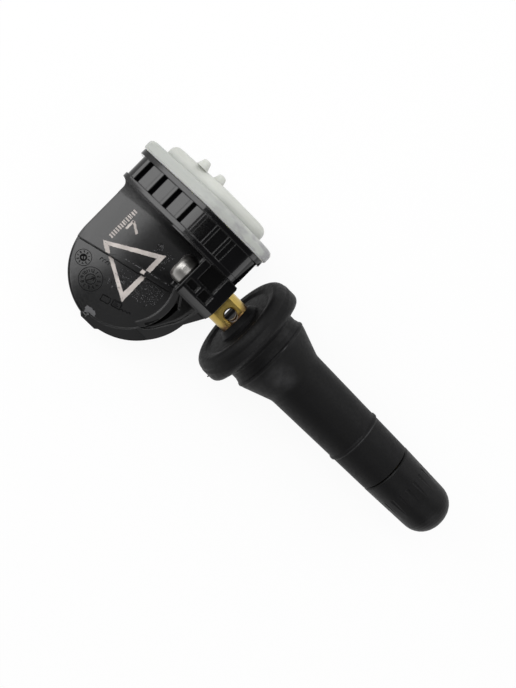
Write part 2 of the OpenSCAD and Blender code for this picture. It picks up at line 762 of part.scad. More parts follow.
// Rooms inside: the board's, the cell's and the slot for the tail
floor_y = band_y + band_flange_t + 0.4;
module rooms() {
    slab(floor_y, seat_y + 1) room_plan(0);
    translate([pocket_c[0], pocket_c[1], room_z0]) cylinder(r = cell_room, h = room_z1 - room_z0, $fn = 96);
    span([pocket_c[0] - cell_room, pocket_c[1], room_z0], [pocket_c[0] + cell_room, floor_y + 1, room_z1]);
    intersection() {
        rod(tail_r + run_gap, -tail_end, 0);
        span([-tail_end, -5, -tail_flat - run_gap], [0, 5, tail_flat + run_gap]);
    }
    rod(screw_r + lay_gap, -boss_left - 1, -tail_end + 1);
    translate([port_x, 0, port_z]) rotate([-90, 0, 0]) {
        cylinder(r = port_r, h = floor_y + 1);
        translate([0, 0, floor_y - filter_t]) cylinder(r = filter_r + lay_gap / 2, h = 2);
    }
}
port_x = -15.3;
port_z = tail_flat + tail_cover + 1.5;
filter_r = 1.3;
filter_t = 0.2;

board_y = floor_y + board_lift;
board_top = board_y + board_t;
post_r = 0.9;
post_places = [[-31.2, -1.6], [-21.5, 5.6], [-15.2, -2.6], [-24.5, -2.6]];

module housing() {
    color([0.13, 0.13, 0.135]) {
        difference() {
            union() {
                difference() {
                    pocket_body();
                    step_cut();
                }
                ridge();
                heel();
                sweep();
                left_fillet();
                band();
                boss_body();
                gussets();
            }
            boss_pockets();
            wedge_pocket();
            rooms();
        }
        for (p = post_places)
            translate([p[0], board_y, p[1]]) rotate([90, 0, 0]) cylinder(r = post_r, h = board_lift + eps, $fn = 24);
    }
}

// Lid: a plate with round edges and a raised middle, hollow below, with a lip that centres it
lid_y = seat_y + lid_t;
lid_top = lid_y + lid_rise;
lid_r = lid_edge_r;
lid_plan = [
    [-house_left + lid_shelf + 2.5, house_back + lid_back_shelf + 2.5, 2.5],
    [-house_right - lid_shelf - 2.2, house_back + lid_back_shelf + 2.5, 2.5],
    [-house_right - lid_shelf - 2.2, house_front - lid_shelf - 2.3, 2.5],
    [-shoulder_x - 0.5, house_front - lid_shelf - 4.3, 4.5],
    [-house_left + lid_shelf + 2.5, -nose_z + 0.3, 2.5]
];

module lid() {
    color([0.8, 0.82, 0.79, 0.85]) difference() {
        union() {
            hull() for (a = [0:30:90]) {
                inset = lid_over - lid_r * (1 - cos(a));
                slab(seat_y + lid_r * (1 - sin(a)) * 0.5, lid_y - lid_r * (1 - sin(a))) polygon(belt(plan, inset));
            }
            hull() for (a = [0:22.5:90])
                slab(lid_y - 0.5, lid_top - 1.3 * (1 - sin(a))) polygon(belt(lid_plan, -1.3 * (1 - cos(a))));
            slab(seat_y - lid_lip, seat_y + eps) polygon(belt(plan, inner_g - lay_gap / 2));
            lid_pips();
        }
        slab(seat_y - 1, seat_y + 0.3) polygon(belt(lid_plan, -0.5));
        slab(seat_y - 1, lid_top - lid_shell) polygon(belt(lid_plan, -lid_shell));
    }
}

// Depth of the lip that centres the lid in the housing
lid_lip = 0.5;

// Two tapered pips moulded on the lid
pip_foot_r = 1.15;
pip_top_r = 0.75;
pip_round_r = 0.4;
module lid_pips() {
    sunk = 0.2;
    for (x = [-28, -24.6])
        translate([x, lid_top - sunk, 3]) rotate([-90, 0, 0]) rotate_extrude($fn = 32)
            polygon(concat([[0, 0], [pip_foot_r, 0]],
                           arc(pip_top_r - pip_round_r, pip_h + sunk - pip_round_r, pip_round_r, 10, 90, 4),
                           [[0, pip_h + sunk]]));
}

// Retaining screw: domed head with a six-lobed socket, and its shank
module retaining_screw() {
    head_x = -boss_left - screw_head_h;
    round_r = 1.15;
    color([0.8, 0.8, 0.78]) difference() {
        union() {
            spun() polygon(concat(
                [[0, -boss_left], [screw_head_r - 0.25, -boss_left]],
                [[screw_head_r, -boss_left - 0.3]],
                arc(screw_head_r - round_r, head_x + round_r, round_r, 0, -90, 6),
                [[0, head_x - 0.12]]));
            rod(screw_r, -boss_left - eps, -screw_end);
        }
        translate([head_x - 1, 0, 0]) rotate([0, 90, 0]) {
            cylinder(r = 0.95, h = 2.5, $fn = 24);
            for (i = [0:5])
                rotate(60 * i) translate([0.95, 0, 0]) cylinder(r = 0.32, h = 2.5, $fn = 16);
        }
    }
}

// Circuit board, on the posts under the lid
module circuit_board() {
    color([0.05, 0.3, 0.16]) slab(board_y, board_top) room_plan(lay_gap / 2);
}

// Coin cell: a can with its smaller cap and the ring between them
module coin_cell() {
    rim = 1.1;
    color([0.76, 0.76, 0.75]) translate([pocket_c[0], pocket_c[1], 0]) rotate_extrude($fn = 96) polygon([
        [0, cell_z0], [cell_r - rim, cell_z0], [cell_r - rim, cell_z0 + 0.5], [cell_r - 0.3, cell_z0 + 0.5],
        [cell_r, cell_z0 + 0.8], [cell_r, cell_z1 - 0.2], [cell_r - 0.2, cell_z1], [0, cell_z1]]);
}

// Strip welded on one face of the cell, up to the board
module cell_strip(x, z) {
    weld_y = -pocket_y - 3;
    span([x - tab_strip_w / 2, weld_y, z], [x + tab_strip_w / 2, board_y, z + tab_t]);
}

module cell_tab_positive() {
    color([0.72, 0.72, 0.7]) cell_strip(-pocket_x + tab_place, cell_z1);
}

module cell_tab_negative() {
    color([0.72, 0.72, 0.7]) cell_strip(-pocket_x - tab_place, cell_z0 - tab_t);
}

// Pressure chip under the board, with its air inlet over the port
module pressure_chip() {
    w = chip_w / 2;
    color([0.1, 0.1, 0.11]) difference() {
        span([port_x - w, board_y - chip_h, port_z - w], [port_x + w, board_y, port_z + w]);
        translate([port_x, board_y - chip_h - 1, port_z]) rotate([-90, 0, 0]) cylinder(r = port_r, h = 1.6, $fn = 24);
    }
}

module port_seal() {
    color([0.15, 0.15, 0.16]) translate([port_x, floor_y, port_z]) rotate([-90, 0, 0]) difference() {
        cylinder(r = 1.6, h = board_lift - chip_h);
        translate([0, 0, -1]) cylinder(r = port_r + 0.15, h = 5);
    }
}

module port_filter() {
    color([0.93, 0.93, 0.92]) translate([port_x, floor_y - filter_t, port_z]) rotate([-90, 0, 0])
        cylinder(r = filter_r, h = filter_t);
}

// Parts on the board's upper side, placed from the middle of the board
mid_x = -(house_left + house_right) / 2;
radio_x = mid_x + radio_w / 2;
radio_z = nose_z / 2 - radio_w / 2 + chip_cap_l;
module transmitter_chip() {
    color([0.09, 0.09, 0.1])
        span([radio_x - radio_w / 2, board_top, radio_z], [radio_x + radio_w / 2, board_top + chip_h, radio_z + radio_w]);
}

// The coil lies along the board's back, clear of the lid's raised wall
coil_x = mid_x - 2;
coil_z = house_back + lid_back_shelf + lid_shell + coil_flange + lay_gap;
coil_end_t = 1;
crystal_x = coil_x - crystal_length - lay_gap;
module crystal() {
    color([0.75, 0.75, 0.74])
        span([crystal_x, board_top, coil_z], [crystal_x + crystal_length, board_top + crystal_length / 4,
                                              coil_z + 0.75 * crystal_length]);
}

module wake_coil_core() {
    y = board_top + coil_flange;
    color([0.2, 0.2, 0.21]) {
        for (end = [0, 1])
            translate([coil_x + end * (coil_length - coil_end_t), board_top, coil_z - coil_flange])
                cube([coil_end_t, 2 * coil_flange, 2 * coil_flange]);
        span([coil_x, y - coil_core, coil_z - coil_core], [coil_x + coil_length, y + coil_core, coil_z + coil_core]);
    }
}

module wake_coil_winding() {
    y = board_top + coil_flange;
    wire = coil_flange - 0.25;
    hole = coil_core + bond_gap;
    x0 = coil_x + coil_end_t + bond_gap;
    x1 = coil_x + coil_length - coil_end_t - bond_gap;
    color([0.7, 0.35, 0.16]) difference() {
        span([x0, y - wire, coil_z - wire], [x1, y + wire, coil_z + wire]);
        span([coil_x, y - hole, coil_z - hole], [coil_x + coil_length, y + hole, coil_z + hole]);
    }
}

// Loop antenna: a strip on edge round the board, open at the right
module loop_antenna() {
    strip = 0.25;
    set = inner_g - lay_gap;
    height = seat_y - lid_lip - board_top - 0.2;
    color([0.78, 0.62, 0.3]) difference() {
        slab(board_top, board_top + height) polygon(belt(plan, set));
        slab(board_top - 1, board_top + 2) polygon(belt(plan, set - strip));
        span([-house_right - 5, board_top - 1, -1.5], [-house_right, board_top + 2, 1.5]);
    }
}

// Three rows of small capacitors: beside the chip, before it and under the crystal
module capacitors() {
    size = [chip_cap_l, 0.6 * chip_cap_l, 0.6 * chip_cap_l];
    pitch = 1.6 * chip_cap_l;
    rows = [
        [radio_x + radio_w / 2 + chip_cap_l, radio_z + chip_cap_l, 0],
        [radio_x - radio_w / 2 + chip_cap_l, radio_z + radio_w + chip_cap_l / 2, 1],
        [crystal_x - 1.4 * chip_cap_l, coil_z - chip_cap_l, 1]
    ];
    color([0.62, 0.5, 0.36]) for (row = rows, i = [0:2])
        translate([row[0] + row[2] * i * pitch, board_top, row[1] + (1 - row[2]) * i * pitch]) cube(size);
}

rubber_stem();
valve_tube();
core_plug();
core_barrel();
core_barrel_seal();
core_pin();
core_spring();
core_cup();
core_cup_seal();
dust_cap();
cap_seal();
housing();
lid();
retaining_screw();
circuit_board();
coin_cell();
cell_tab_positive();
cell_tab_negative();
pressure_chip();
port_seal();
port_filter();
transmitter_chip();
crystal();
wake_coil_core();
wake_coil_winding();
loop_antenna();
capacitors();
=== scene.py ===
"""Looks of a snap-in tyre pressure sensor: rubber valve stem, sensor housing, lid and small parts.

Everything is in metres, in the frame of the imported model: +X runs along the valve axis out to the
cap, +Y from the axis to the lid, and +Z up from the side that the part lies on.
"""

import logging
import math
import random
from dataclasses import dataclass
from enum import Enum
from typing import Sequence

import bmesh
import bpy
from mathutils import Matrix, Vector
from mathutils.bvhtree import BVHTree


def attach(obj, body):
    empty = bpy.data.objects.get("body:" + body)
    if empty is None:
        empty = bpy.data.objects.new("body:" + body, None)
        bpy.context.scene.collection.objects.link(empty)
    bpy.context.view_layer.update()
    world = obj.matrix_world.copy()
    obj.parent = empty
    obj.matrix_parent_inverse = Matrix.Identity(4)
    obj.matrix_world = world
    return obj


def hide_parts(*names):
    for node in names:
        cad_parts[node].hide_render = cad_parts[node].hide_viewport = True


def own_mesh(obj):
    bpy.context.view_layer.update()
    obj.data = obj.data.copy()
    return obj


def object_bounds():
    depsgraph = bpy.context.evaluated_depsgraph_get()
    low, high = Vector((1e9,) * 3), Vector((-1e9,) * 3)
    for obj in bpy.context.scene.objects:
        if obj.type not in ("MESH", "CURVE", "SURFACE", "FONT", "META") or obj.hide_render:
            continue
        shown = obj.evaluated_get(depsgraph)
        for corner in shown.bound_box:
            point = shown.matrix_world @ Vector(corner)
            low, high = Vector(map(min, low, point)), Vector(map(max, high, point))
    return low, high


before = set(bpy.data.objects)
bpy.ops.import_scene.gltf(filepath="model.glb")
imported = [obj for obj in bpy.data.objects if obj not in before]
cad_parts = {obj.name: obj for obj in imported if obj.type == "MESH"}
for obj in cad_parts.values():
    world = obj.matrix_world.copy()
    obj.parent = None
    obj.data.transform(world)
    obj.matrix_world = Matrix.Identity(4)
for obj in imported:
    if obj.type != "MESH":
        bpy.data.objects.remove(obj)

LOG = logging.getLogger("tyre_pressure_sensor")
MM = 0.001
WELD = 1e-6  # Points nearer than this are one
SMOOTH_ANGLE = 32.0  # Edges sharper than this, in degrees, stay sharp
POCKET_CENTRE = (-23.74, -6.23)  # Middle of the housing's round pocket, in millimetres
CAD_BOX = [list(corner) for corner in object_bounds()]

Point2 = tuple[float, float]
Quad = tuple[Point2, Point2, Point2, Point2]
Point3 = tuple[float, float, float]
Colour = tuple[float, float, float]
Socket = bpy.types.NodeSocket


class Body(Enum):
    """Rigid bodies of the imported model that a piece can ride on."""

    SENSOR = "sensor"
    CAP = "cap"
    PIN = "pin"


class NodeTree:
    """Short calls for building the shader nodes of one material."""

    def __init__(self, material: bpy.types.Material) -> None:
        """Starts from an empty tree.

        Args:
            material: The material whose nodes are built.
        """
        material.use_nodes = True
        self.tree = material.node_tree
        self.tree.nodes.clear()

    def add(self, kind: str, inputs: dict | None = None, **settings: object) -> bpy.types.Node:
        """Adds a node and fills its sockets.

        Args:
            kind: Blender's name of the node type.
            inputs: Socket name or number to a value, or to a socket that is linked to it.
            settings: Properties of the node itself.

        Returns:
            The new node.
        """
        node = self.tree.nodes.new(kind)
        for name, value in settings.items():
            setattr(node, name, value)
        for key, value in (inputs or {}).items():
            self.feed(node.inputs[key], value)
        return node

    def feed(self, socket: Socket, value: object) -> None:
        """Links a socket to the given one, or sets its value."""
        if isinstance(value, Socket):
            self.tree.links.new(value, socket)
        else:
            socket.default_value = value

    def math(self, operation: str, a: object, b: object = 0.0) -> Socket:
        """Result socket of a Math node on a and b."""
        return self.add("ShaderNodeMath", {0: a, 1: b}, operation=operation).outputs[0]

    def mix(self, factor: object, a: object, b: object) -> Socket:
        """Colour between a and b by factor."""
        node = self.add("ShaderNodeMix", {"Factor": factor}, data_type="RGBA")
        self.feed(node.inputs[6], a)
        self.feed(node.inputs[7], b)
        return node.outputs[2]

    def ramp(self, factor: object, low: float, high: float, to_low: float = 0.0, to_high: float = 1.0) -> Socket:
        """Factor mapped from low..high to to_low..to_high, held at both ends."""
        node = self.add("ShaderNodeMapRange", {0: factor, 1: low, 2: high, 3: to_low, 4: to_high}, clamp=True)
        return node.outputs[0]

    def noise(self, position: object, scale: float, detail: float = 3.0, rough: float = 0.5) -> Socket:
        """Height of a noise texture, with its scale per metre."""
        inputs = {"Vector": position, "Scale": scale, "Detail": detail, "Roughness": rough}
        return self.add("ShaderNodeTexNoise", inputs).outputs[0]

    def position(self) -> Socket:
        """The shaded point in the object's own frame."""
        return self.add("ShaderNodeTexCoord").outputs["Object"]

    def stretched(self, position: object, scale: Sequence[float]) -> Socket:
        """The position, scaled along each axis."""
        return self.add("ShaderNodeMapping", {"Vector": position, "Scale": tuple(scale)}).outputs[0]

    def soft_edges(self, radius: float) -> Socket:
        """Normal that rounds the edges of the mesh by a radius in metres."""
        return self.add("ShaderNodeBevel", {"Radius": radius}, samples=6).outputs[0]

    def bump(self, height: object, depth: float, normal: object) -> Socket:
        """Normal raised by a height from 0 to 1, whose depth is in metres."""
        inputs = {"Height": height, "Distance": depth, "Strength": 1.0, "Normal": normal}
        return self.add("ShaderNodeBump", inputs).outputs[0]

    def finish(self, shader: bpy.types.Node, kind: str = "ShaderNodeOutputMaterial") -> None:
        """Sends a shader to the output node of a material, or of another kind."""
        self.add(kind, {"Surface": shader.outputs[0]})


@dataclass(frozen=True)
class Finish:
    """A surface with fine noise in its colour, gloss and height.

    Attributes:
        name: Name of the material.
        colour: Linear base colour.
        roughness: Middle roughness.
        metallic: 1 for bare metal.
        grain: Noise scale per metre.
        grain_depth: Height of the grain, in metres.
        variation: Share by which the colour varies.
        edge: Radius of softened edges, in metres.
        specular: Specular level.
        stretch: Scale of the grain along X, Y and Z.
    """

    name: str
    colour: Colour
    roughness: float = 0.5
    metallic: float = 0.0
    grain: float = 2500.0
    grain_depth: float = 0.00001
    variation: float = 0.15
    edge: float = 0.00008
    specular: float = 0.5
    stretch: Point3 = (1.0, 1.0, 1.0)

    def build(self) -> bpy.types.Material:
        """Makes the material.

        Returns:
            The new material.
        """
        material = bpy.data.materials.new(self.name)
        nodes = NodeTree(material)
        where = nodes.position()
        fine = nodes.noise(nodes.stretched(where, self.stretch), self.grain, 4.0)
        broad = nodes.noise(where, self.grain / 12, 2.0)
        nodes.finish(self.shade(nodes, where, fine, broad))
        return material

    def tone(self, nodes: NodeTree, where: object, fine: object, broad: object) -> Socket:
        """Base colour, varied by the broad noise.

        Args:
            nodes: The tree to build in.
            where: Position socket.
            fine: Fine noise.
            broad: Broad noise.

        Returns:
            The colour socket.
        """
        dark = tuple(c * (1 - self.variation) for c in self.colour) + (1.0,)
        light = tuple(min(1.0, c * (1 + self.variation)) for c in self.colour) + (1.0,)
        return nodes.mix(nodes.ramp(broad, 0.35, 0.65), dark, light)

    def shade(self, nodes: NodeTree, where: object, fine: object, broad: object) -> bpy.types.Node:
        """Builds the surface shader, with the arguments of tone.

        Returns:
            The shader node.
        """
        gloss = nodes.ramp(fine, 0.3, 0.7, self.roughness * 0.88, min(1.0, self.roughness * 1.12))
        normal = nodes.bump(fine, self.grain_depth, nodes.soft_edges(self.edge))
        return nodes.add("ShaderNodeBsdfPrincipled", {
            "Base Color": self.tone(nodes, where, fine, broad),
            "Roughness": gloss,
            "Metallic": self.metallic,
            "Specular IOR Level": self.specular,
            "Normal": normal,
        })


@dataclass(frozen=True)
class Stained(Finish):
    """A finish with an uneven stain between two places along X.

    Attributes:
        stain: Linear colour of the stain.
        start: Where the stain is strongest, in metres along X.
        end: Where it has gone, in metres along X.
        covered: Where the metal is covered, so that it is plain again, in metres along X.
        amount: Its greatest share.
    """

    stain: Colour = (0.01, 0.01, 0.01)
    start: float = 0.0
    end: float = 0.001
    covered: float = 0.01
    amount: float = 0.9

    def tone(self, nodes: NodeTree, where: object, fine: object, broad: object) -> Socket:
        """Plain tone with the stain over it, as Finish.tone says."""
        plain = super().tone(nodes, where, fine, broad)
        along = nodes.add("ShaderNodeSeparateXYZ", {0: where}).outputs[0]
        wave = nodes.noise(where, 900.0, 3.0, 0.6)
        reach = nodes.math("ADD", along, nodes.math("MULTIPLY", nodes.math("SUBTRACT", wave, 0.5),
                                                    2.4 * abs(self.end - self.start)))
        share = nodes.ramp(reach, self.start, self.end, self.amount, 0.0)
        share = nodes.math("MULTIPLY", share, nodes.ramp(along, self.covered, self.covered + 0.001, 1.0, 0.0))
        return nodes.mix(share, plain, self.stain + (1.0,))


@dataclass(frozen=True)
class PaintedHighlightFinish(Finish):
    """A finish with soft pale spots of painted highlight.

    Attributes:
        pale: Linear colour of the painted highlights.
        highlight_spots: Middle, reach along each axis and share of each painted highlight, in metres.
    """

    pale: Colour = (0.05, 0.05, 0.052)
    highlight_spots: tuple[tuple[Point3, Point3, float], ...] = ()

    def tone(self, nodes: NodeTree, where: object, fine: object, broad: object) -> Socket:
        """Plain tone with the painted highlights on it, as Finish.tone says."""
        tone = super().tone(nodes, where, fine, broad)
        uneven = nodes.ramp(nodes.noise(where, 700.0, 3.0), 0.3, 0.6, 0.35, 1.0)
        for middle, reach, share in self.highlight_spots:
            away = nodes.add("ShaderNodeVectorMath", {0: where, 1: middle}, operation="SUBTRACT").outputs[0]
            away = nodes.add("ShaderNodeVectorMath", {0: away, 1: reach}, operation="DIVIDE").outputs[0]
            far = nodes.add("ShaderNodeVectorMath", {0: away}, operation="LENGTH").outputs["Value"]
            soft = nodes.math("MULTIPLY", nodes.ramp(far, 0.25, 1.0, share, 0.0), uneven)
            tone = nodes.mix(soft, tone, self.pale + (1.0,))
        return tone


@dataclass(frozen=True)
class Speckled(Finish):
    """A finish of fine pale and dark specks, like a mark burnt by a laser.

    Attributes:
        speck: Linear colour of the dark specks.
        cover: Share of the area that the dark specks take.
    """

    speck: Colour = (0.2, 0.18, 0.17)
    cover: float = 0.3

    def tone(self, nodes: NodeTree, where: object, fine: object, broad: object) -> Socket:
        """Plain tone with specks in it, as Finish.tone says."""
        plain = super().tone(nodes, where, fine, broad)
        specks = nodes.noise(where, 9000.0, 2.0, 0.7)
        share = nodes.ramp(specks, 0.5 + 0.2 * (1 - self.cover), 0.62 + 0.2 * (1 - self.cover))
        return nodes.mix(share, plain, self.speck + (1.0,))


@dataclass(frozen=True)
class MilkyPlastic(Finish):
    """Translucent plastic. The faint show of the dark parts below is painted into its colour as shade, and the rim's
    lower edge has a painted highlight.

    Attributes:
        see_through: Share of light that passes straight in.
        depth: Distance that light spreads inside, in metres.
        rim_shade_colour: Linear colour of the rim, darkened as painted shade where it lies on the dark housing.
        rim: Where the rim's tone ends and where it has gone, in metres along Y.
        edge_highlight_colour: Linear colour of the painted highlight along the rim's lower edge.
        edge_highlight: Where the painted highlight begins and where it is whole, in metres along Y.
        shade_colour: Linear colour where dark parts lie close below.
        shade_right: Where the dark patches begin and where they are whole, in metres along X.
        shade_low: The same along Y.
        shade_share: Share of the dark patches' colour.
    """

    see_through: float = 0.12
    depth: float = 0.0014
    rim_shade_colour: Colour = (0.44, 0.455, 0.43)
    rim: Point2 = (0.0113, 0.0126)
    edge_highlight_colour: Colour = (0.8, 0.81, 0.79)
    edge_highlight: Point2 = (0.0097, 0.0095)
    shade_colour: Colour = (0.26, 0.25, 0.27)
    shade_right: Point2 = (-0.027, -0.014)
    shade_low: Point2 = (0.0125, 0.0108)
    shade_share: float = 0.85

    def tone(self, nodes: NodeTree, where: object, fine: object, broad: object) -> Socket:
        """Plain tone with painted shade, cloudy and darker towards the right of the rim, and a painted highlight on the
        lower edge, as Finish.tone says.
        """
        top = super().tone(nodes, where, fine, broad)
        x, y, _ = nodes.add("ShaderNodeSeparateXYZ", {0: where}).outputs
        # Painted shade: the rim is darker where it lies on the dark housing.
        plain = nodes.mix(nodes.ramp(y, *self.rim), self.rim_shade_colour + (1.0,), top)
        right = nodes.ramp(x, *self.shade_right)
        low = nodes.ramp(y, *self.shade_low)
        clouds = nodes.ramp(nodes.noise(nodes.stretched(where, (1.0, 2.2, 1.0)), 420.0, 2.0), 0.42, 0.62)
        share = nodes.math("MULTIPLY", nodes.math("MULTIPLY", right, low), clouds)
        shaded = nodes.mix(nodes.math("MULTIPLY", share, self.shade_share), plain, self.shade_colour + (1.0,))
        # Painted highlight: a pale band along the rim's lower edge.
        return nodes.mix(nodes.ramp(y, *self.edge_highlight), shaded, self.edge_highlight_colour + (1.0,))

    def shade(self, nodes: NodeTree, where: object, fine: object, broad: object) -> bpy.types.Node:
        """Adds spread and see-through to the plain finish, as Finish.shade says."""
        shader = super().shade(nodes, where, fine, broad)
        for name, value in (("Subsurface Weight", 0.6), ("Subsurface Radius", (1.0, 1.0, 0.9)),
                            ("Subsurface Scale", self.depth), ("Transmission Weight", self.see_through), ("IOR", 1.46)):
            shader.inputs[name].default_value = value
        return shader


def dressed(node: str, material: bpy.types.Material, smooth_angle: float = SMOOTH_ANGLE) -> bpy.types.Object:
    """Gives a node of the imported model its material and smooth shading.

    Args:
        node: Name of the node.
        material: Material for its whole surface.
        smooth_angle: Edges sharper than this, in degrees, stay sharp.

    Returns:
        The node's object.
    """
    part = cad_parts[node]
    part.data.materials.clear()
    part.data.materials.append(material)
    part.data.shade_smooth()
    part.data.set_sharp_from_angle(angle=math.radians(smooth_angle))
    LOG.info("%s: %s", node, material.name)
    return part


def around(centre: Point2, radius: float, turn: float) -> Point2:
    """Point at a distance from a centre, in the direction of an angle in radians."""
    return (centre[0] + radius * math.cos(turn), centre[1] + radius * math.sin(turn))


def linked(name: str, data: bpy.types.ID) -> bpy.types.Object:
    """Makes an object of a mesh, lamp or camera and links it to the scene."""
    made = bpy.data.objects.new(name, data)
    bpy.context.scene.collection.objects.link(made)
    return made


def placed(name: str, shape: bmesh.types.BMesh, material: bpy.types.Material, body: Body) -> None:
    """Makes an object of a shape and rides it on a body.

    Args:
        name: Name of the object.
        shape: The shape, freed here.
        material: Its material.
        body: The body that it rides on.
    """
    mesh = bpy.data.meshes.new(name)
    shape.to_mesh(mesh)
    shape.free()
    mesh.materials.append(material)
    thing = linked(name, mesh)
    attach(thing, body.value)
    LOG.info("%s: %d faces", name, len(mesh.polygons))


def stand_in(packed: bpy.types.Object, mesh: bpy.types.Mesh) -> bpy.types.Object:
    """Makes an object that takes the place of a packed one.

    Args:
        packed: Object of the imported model.
        mesh: Mesh of the new object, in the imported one's frame.

    Returns:
        The new object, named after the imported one.
    """
    shown = linked(packed.name + "_shown", mesh)
    shown.matrix_world = packed.matrix_world.copy()
    return shown


class FaceSheet:
    """Thin shapes laid on the housing's face, given as points in millimetres along X and Y.

    Attributes:
        LIFT: Thickness of the shapes, in metres.
        STEEP: Squares whose corners differ more than this in height are left out, in metres.
        ABOVE: Height from which points are dropped, in metres.
        LEVEL: Height of the points that meet nothing, in metres.
    """

    LIFT = 0.012 * MM
    STEEP = 0.22 * MM
    ABOVE = 30.0 * MM
    LEVEL = -3.0 * MM

    def __init__(self, node: str, seed: int) -> None:
        """Reads the surface below.

        Args:
            node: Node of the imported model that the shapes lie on.
            seed: Start of the random edge roughness.
        """
        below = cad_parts[node]
        below_mesh = below.data
        points = [below.matrix_world @ vertex.co for vertex in below_mesh.vertices]
        self.tree = BVHTree.FromPolygons(points, [tuple(polygon.vertices) for polygon in below_mesh.polygons])
        self.shape = bmesh.new()
        self.random = random.Random(seed)

    def take(self) -> bmesh.types.BMesh:
        """Hands over the shapes laid so far, as thin solids, and starts a new sheet."""
        shape, self.shape = self.shape, bmesh.new()
        loose = [vertex for vertex in shape.verts if not vertex.link_faces]
        bmesh.ops.delete(shape, geom=loose, context="VERTS")
        bmesh.ops.recalc_face_normals(shape, faces=shape.faces[:])
        turned = [face for face in shape.faces if face.normal.z < 0]
        bmesh.ops.reverse_faces(shape, faces=turned)
        bmesh.ops.solidify(shape, geom=shape.faces[:], thickness=-self.LIFT)
        return shape

    def drop(self, x: float, y: float) -> Vector:
        """Point on the surface under (x, y), lifted by the sheet's thickness."""
        start = Vector((x * MM, y * MM, self.ABOVE))
        hit = self.tree.ray_cast(start, Vector((0.0, 0.0, -1.0)))[0]
        level = hit.z if hit is not None else self.LEVEL
        return Vector((start.x, start.y, level + self.LIFT))

    def patch(self, quad: Quad, rough: float = 0.0, step: float = 0.16) -> None:
        """Lays a four-sided patch, in small squares that follow the surface.

        Args:
            quad: Corners in order, the first two being the start of the long sides.
            rough: Greatest shift of the outer points, in millimetres.
            step: Greatest side of a square, in millimetres.
        """
        near, far, far_end, near_end = (Vector(corner) for corner in quad)
        along = max(1, round(max((near_end - near).length, (far_end - far).length) / step))
        across = max(1, round((far - near).length / step))
        rows = []
        for i in range(along + 1):
            a, b = near.lerp(near_end, i / along), far.lerp(far_end, i / along)
            row = []
            for j in range(across + 1):
                point = a.lerp(b, j / across)
                if rough and (j in (0, across) or i in (0, along)):
                    point += Vector((self.random.uniform(-rough, rough), self.random.uniform(-rough, rough)))
                row.append(self.shape.verts.new(self.drop(point.x, point.y)))
            rows.append(row)
        for i in range(along):
            for j in range(across):
                corners = (rows[i][j], rows[i + 1][j], rows[i + 1][j + 1], rows[i][j + 1])
                levels = [corner.co.z for corner in corners]
                if max(levels) - min(levels) < self.STEEP:
                    self.shape.faces.new(corners)

    def stroke(self, points: Sequence[Point2], width: float, rough: float = 0.0) -> None:
        """Lays a line of a given width through the points."""
        for start, end in zip(points, points[1:]):
            a, b = Vector(start), Vector(end)
            if (b - a).length < WELD:
                continue
            side = (b - a).normalized().orthogonal() * width / 2
            self.patch(((a - side)[:], (a + side)[:], (b + side)[:], (b - side)[:]), rough)

    def ring(self, centre: Point2, radius: float, width: float, count: int = 40) -> None:
        """Lays a circle of a given line width."""
        turn = [2 * math.pi * i / count for i in range(count + 1)]
        inner, outer = radius - width / 2, radius + width / 2
        for a, b in zip(turn, turn[1:]):
            self.patch(tuple(around(centre, r, t) for r, t in ((inner, a), (outer, a), (outer, b), (inner, b))))

    def dots(self, area: Quad, count: int, size: tuple[float, float]) -> None:
        """Strews small specks over a four-sided area."""
        a, b, c, d = (Vector(corner) for corner in area)
        for _ in range(count):
            u, v = self.random.random(), self.random.random()
            middle = a.lerp(b, u).lerp(d.lerp(c, u), v)
            half = self.random.uniform(*size) / 2
            turn = self.random.uniform(0.0, math.pi)
            arm = Vector((math.cos(turn), math.sin(turn))) * half
            side = arm.orthogonal() * self.random.uniform(0.5, 1.0)
            corners = [self.shape.verts.new(self.drop(*(middle + move))) for move in (arm, side, -arm, -side)]
            self.shape.faces.new(corners)


STROKES: dict[str, tuple[tuple[Point2, ...], ...]] = {
    "0": (((0, 0), (1, 0), (1, 2), (0, 2), (0, 0)),),
    "1": (((0.2, 1.6), (0.6, 2), (0.6, 0)),),
    "2": (((0, 2), (1, 2), (1, 1), (0, 1), (0, 0), (1, 0)),),
    "3": (((0, 2), (1, 2), (1, 0), (0, 0)), ((0.2, 1), (1, 1))),
    "4": (((0, 2), (0, 1), (1, 1)), ((1, 2), (1, 0))),
    "5": (((1, 2), (0, 2), (0, 1), (1, 1), (1, 0), (0, 0)),),
    "6": (((1, 2), (0, 2), (0, 0), (1, 0), (1, 1), (0, 1)),),
    "7": (((0, 2), (1, 2), (0.4, 0)),),
    "8": (((0, 0), (1, 0), (1, 2), (0, 2), (0, 0)), ((0, 1), (1, 1))),
    "9": (((1, 0), (1, 2), (0, 2), (0, 1), (1, 1)),),
}


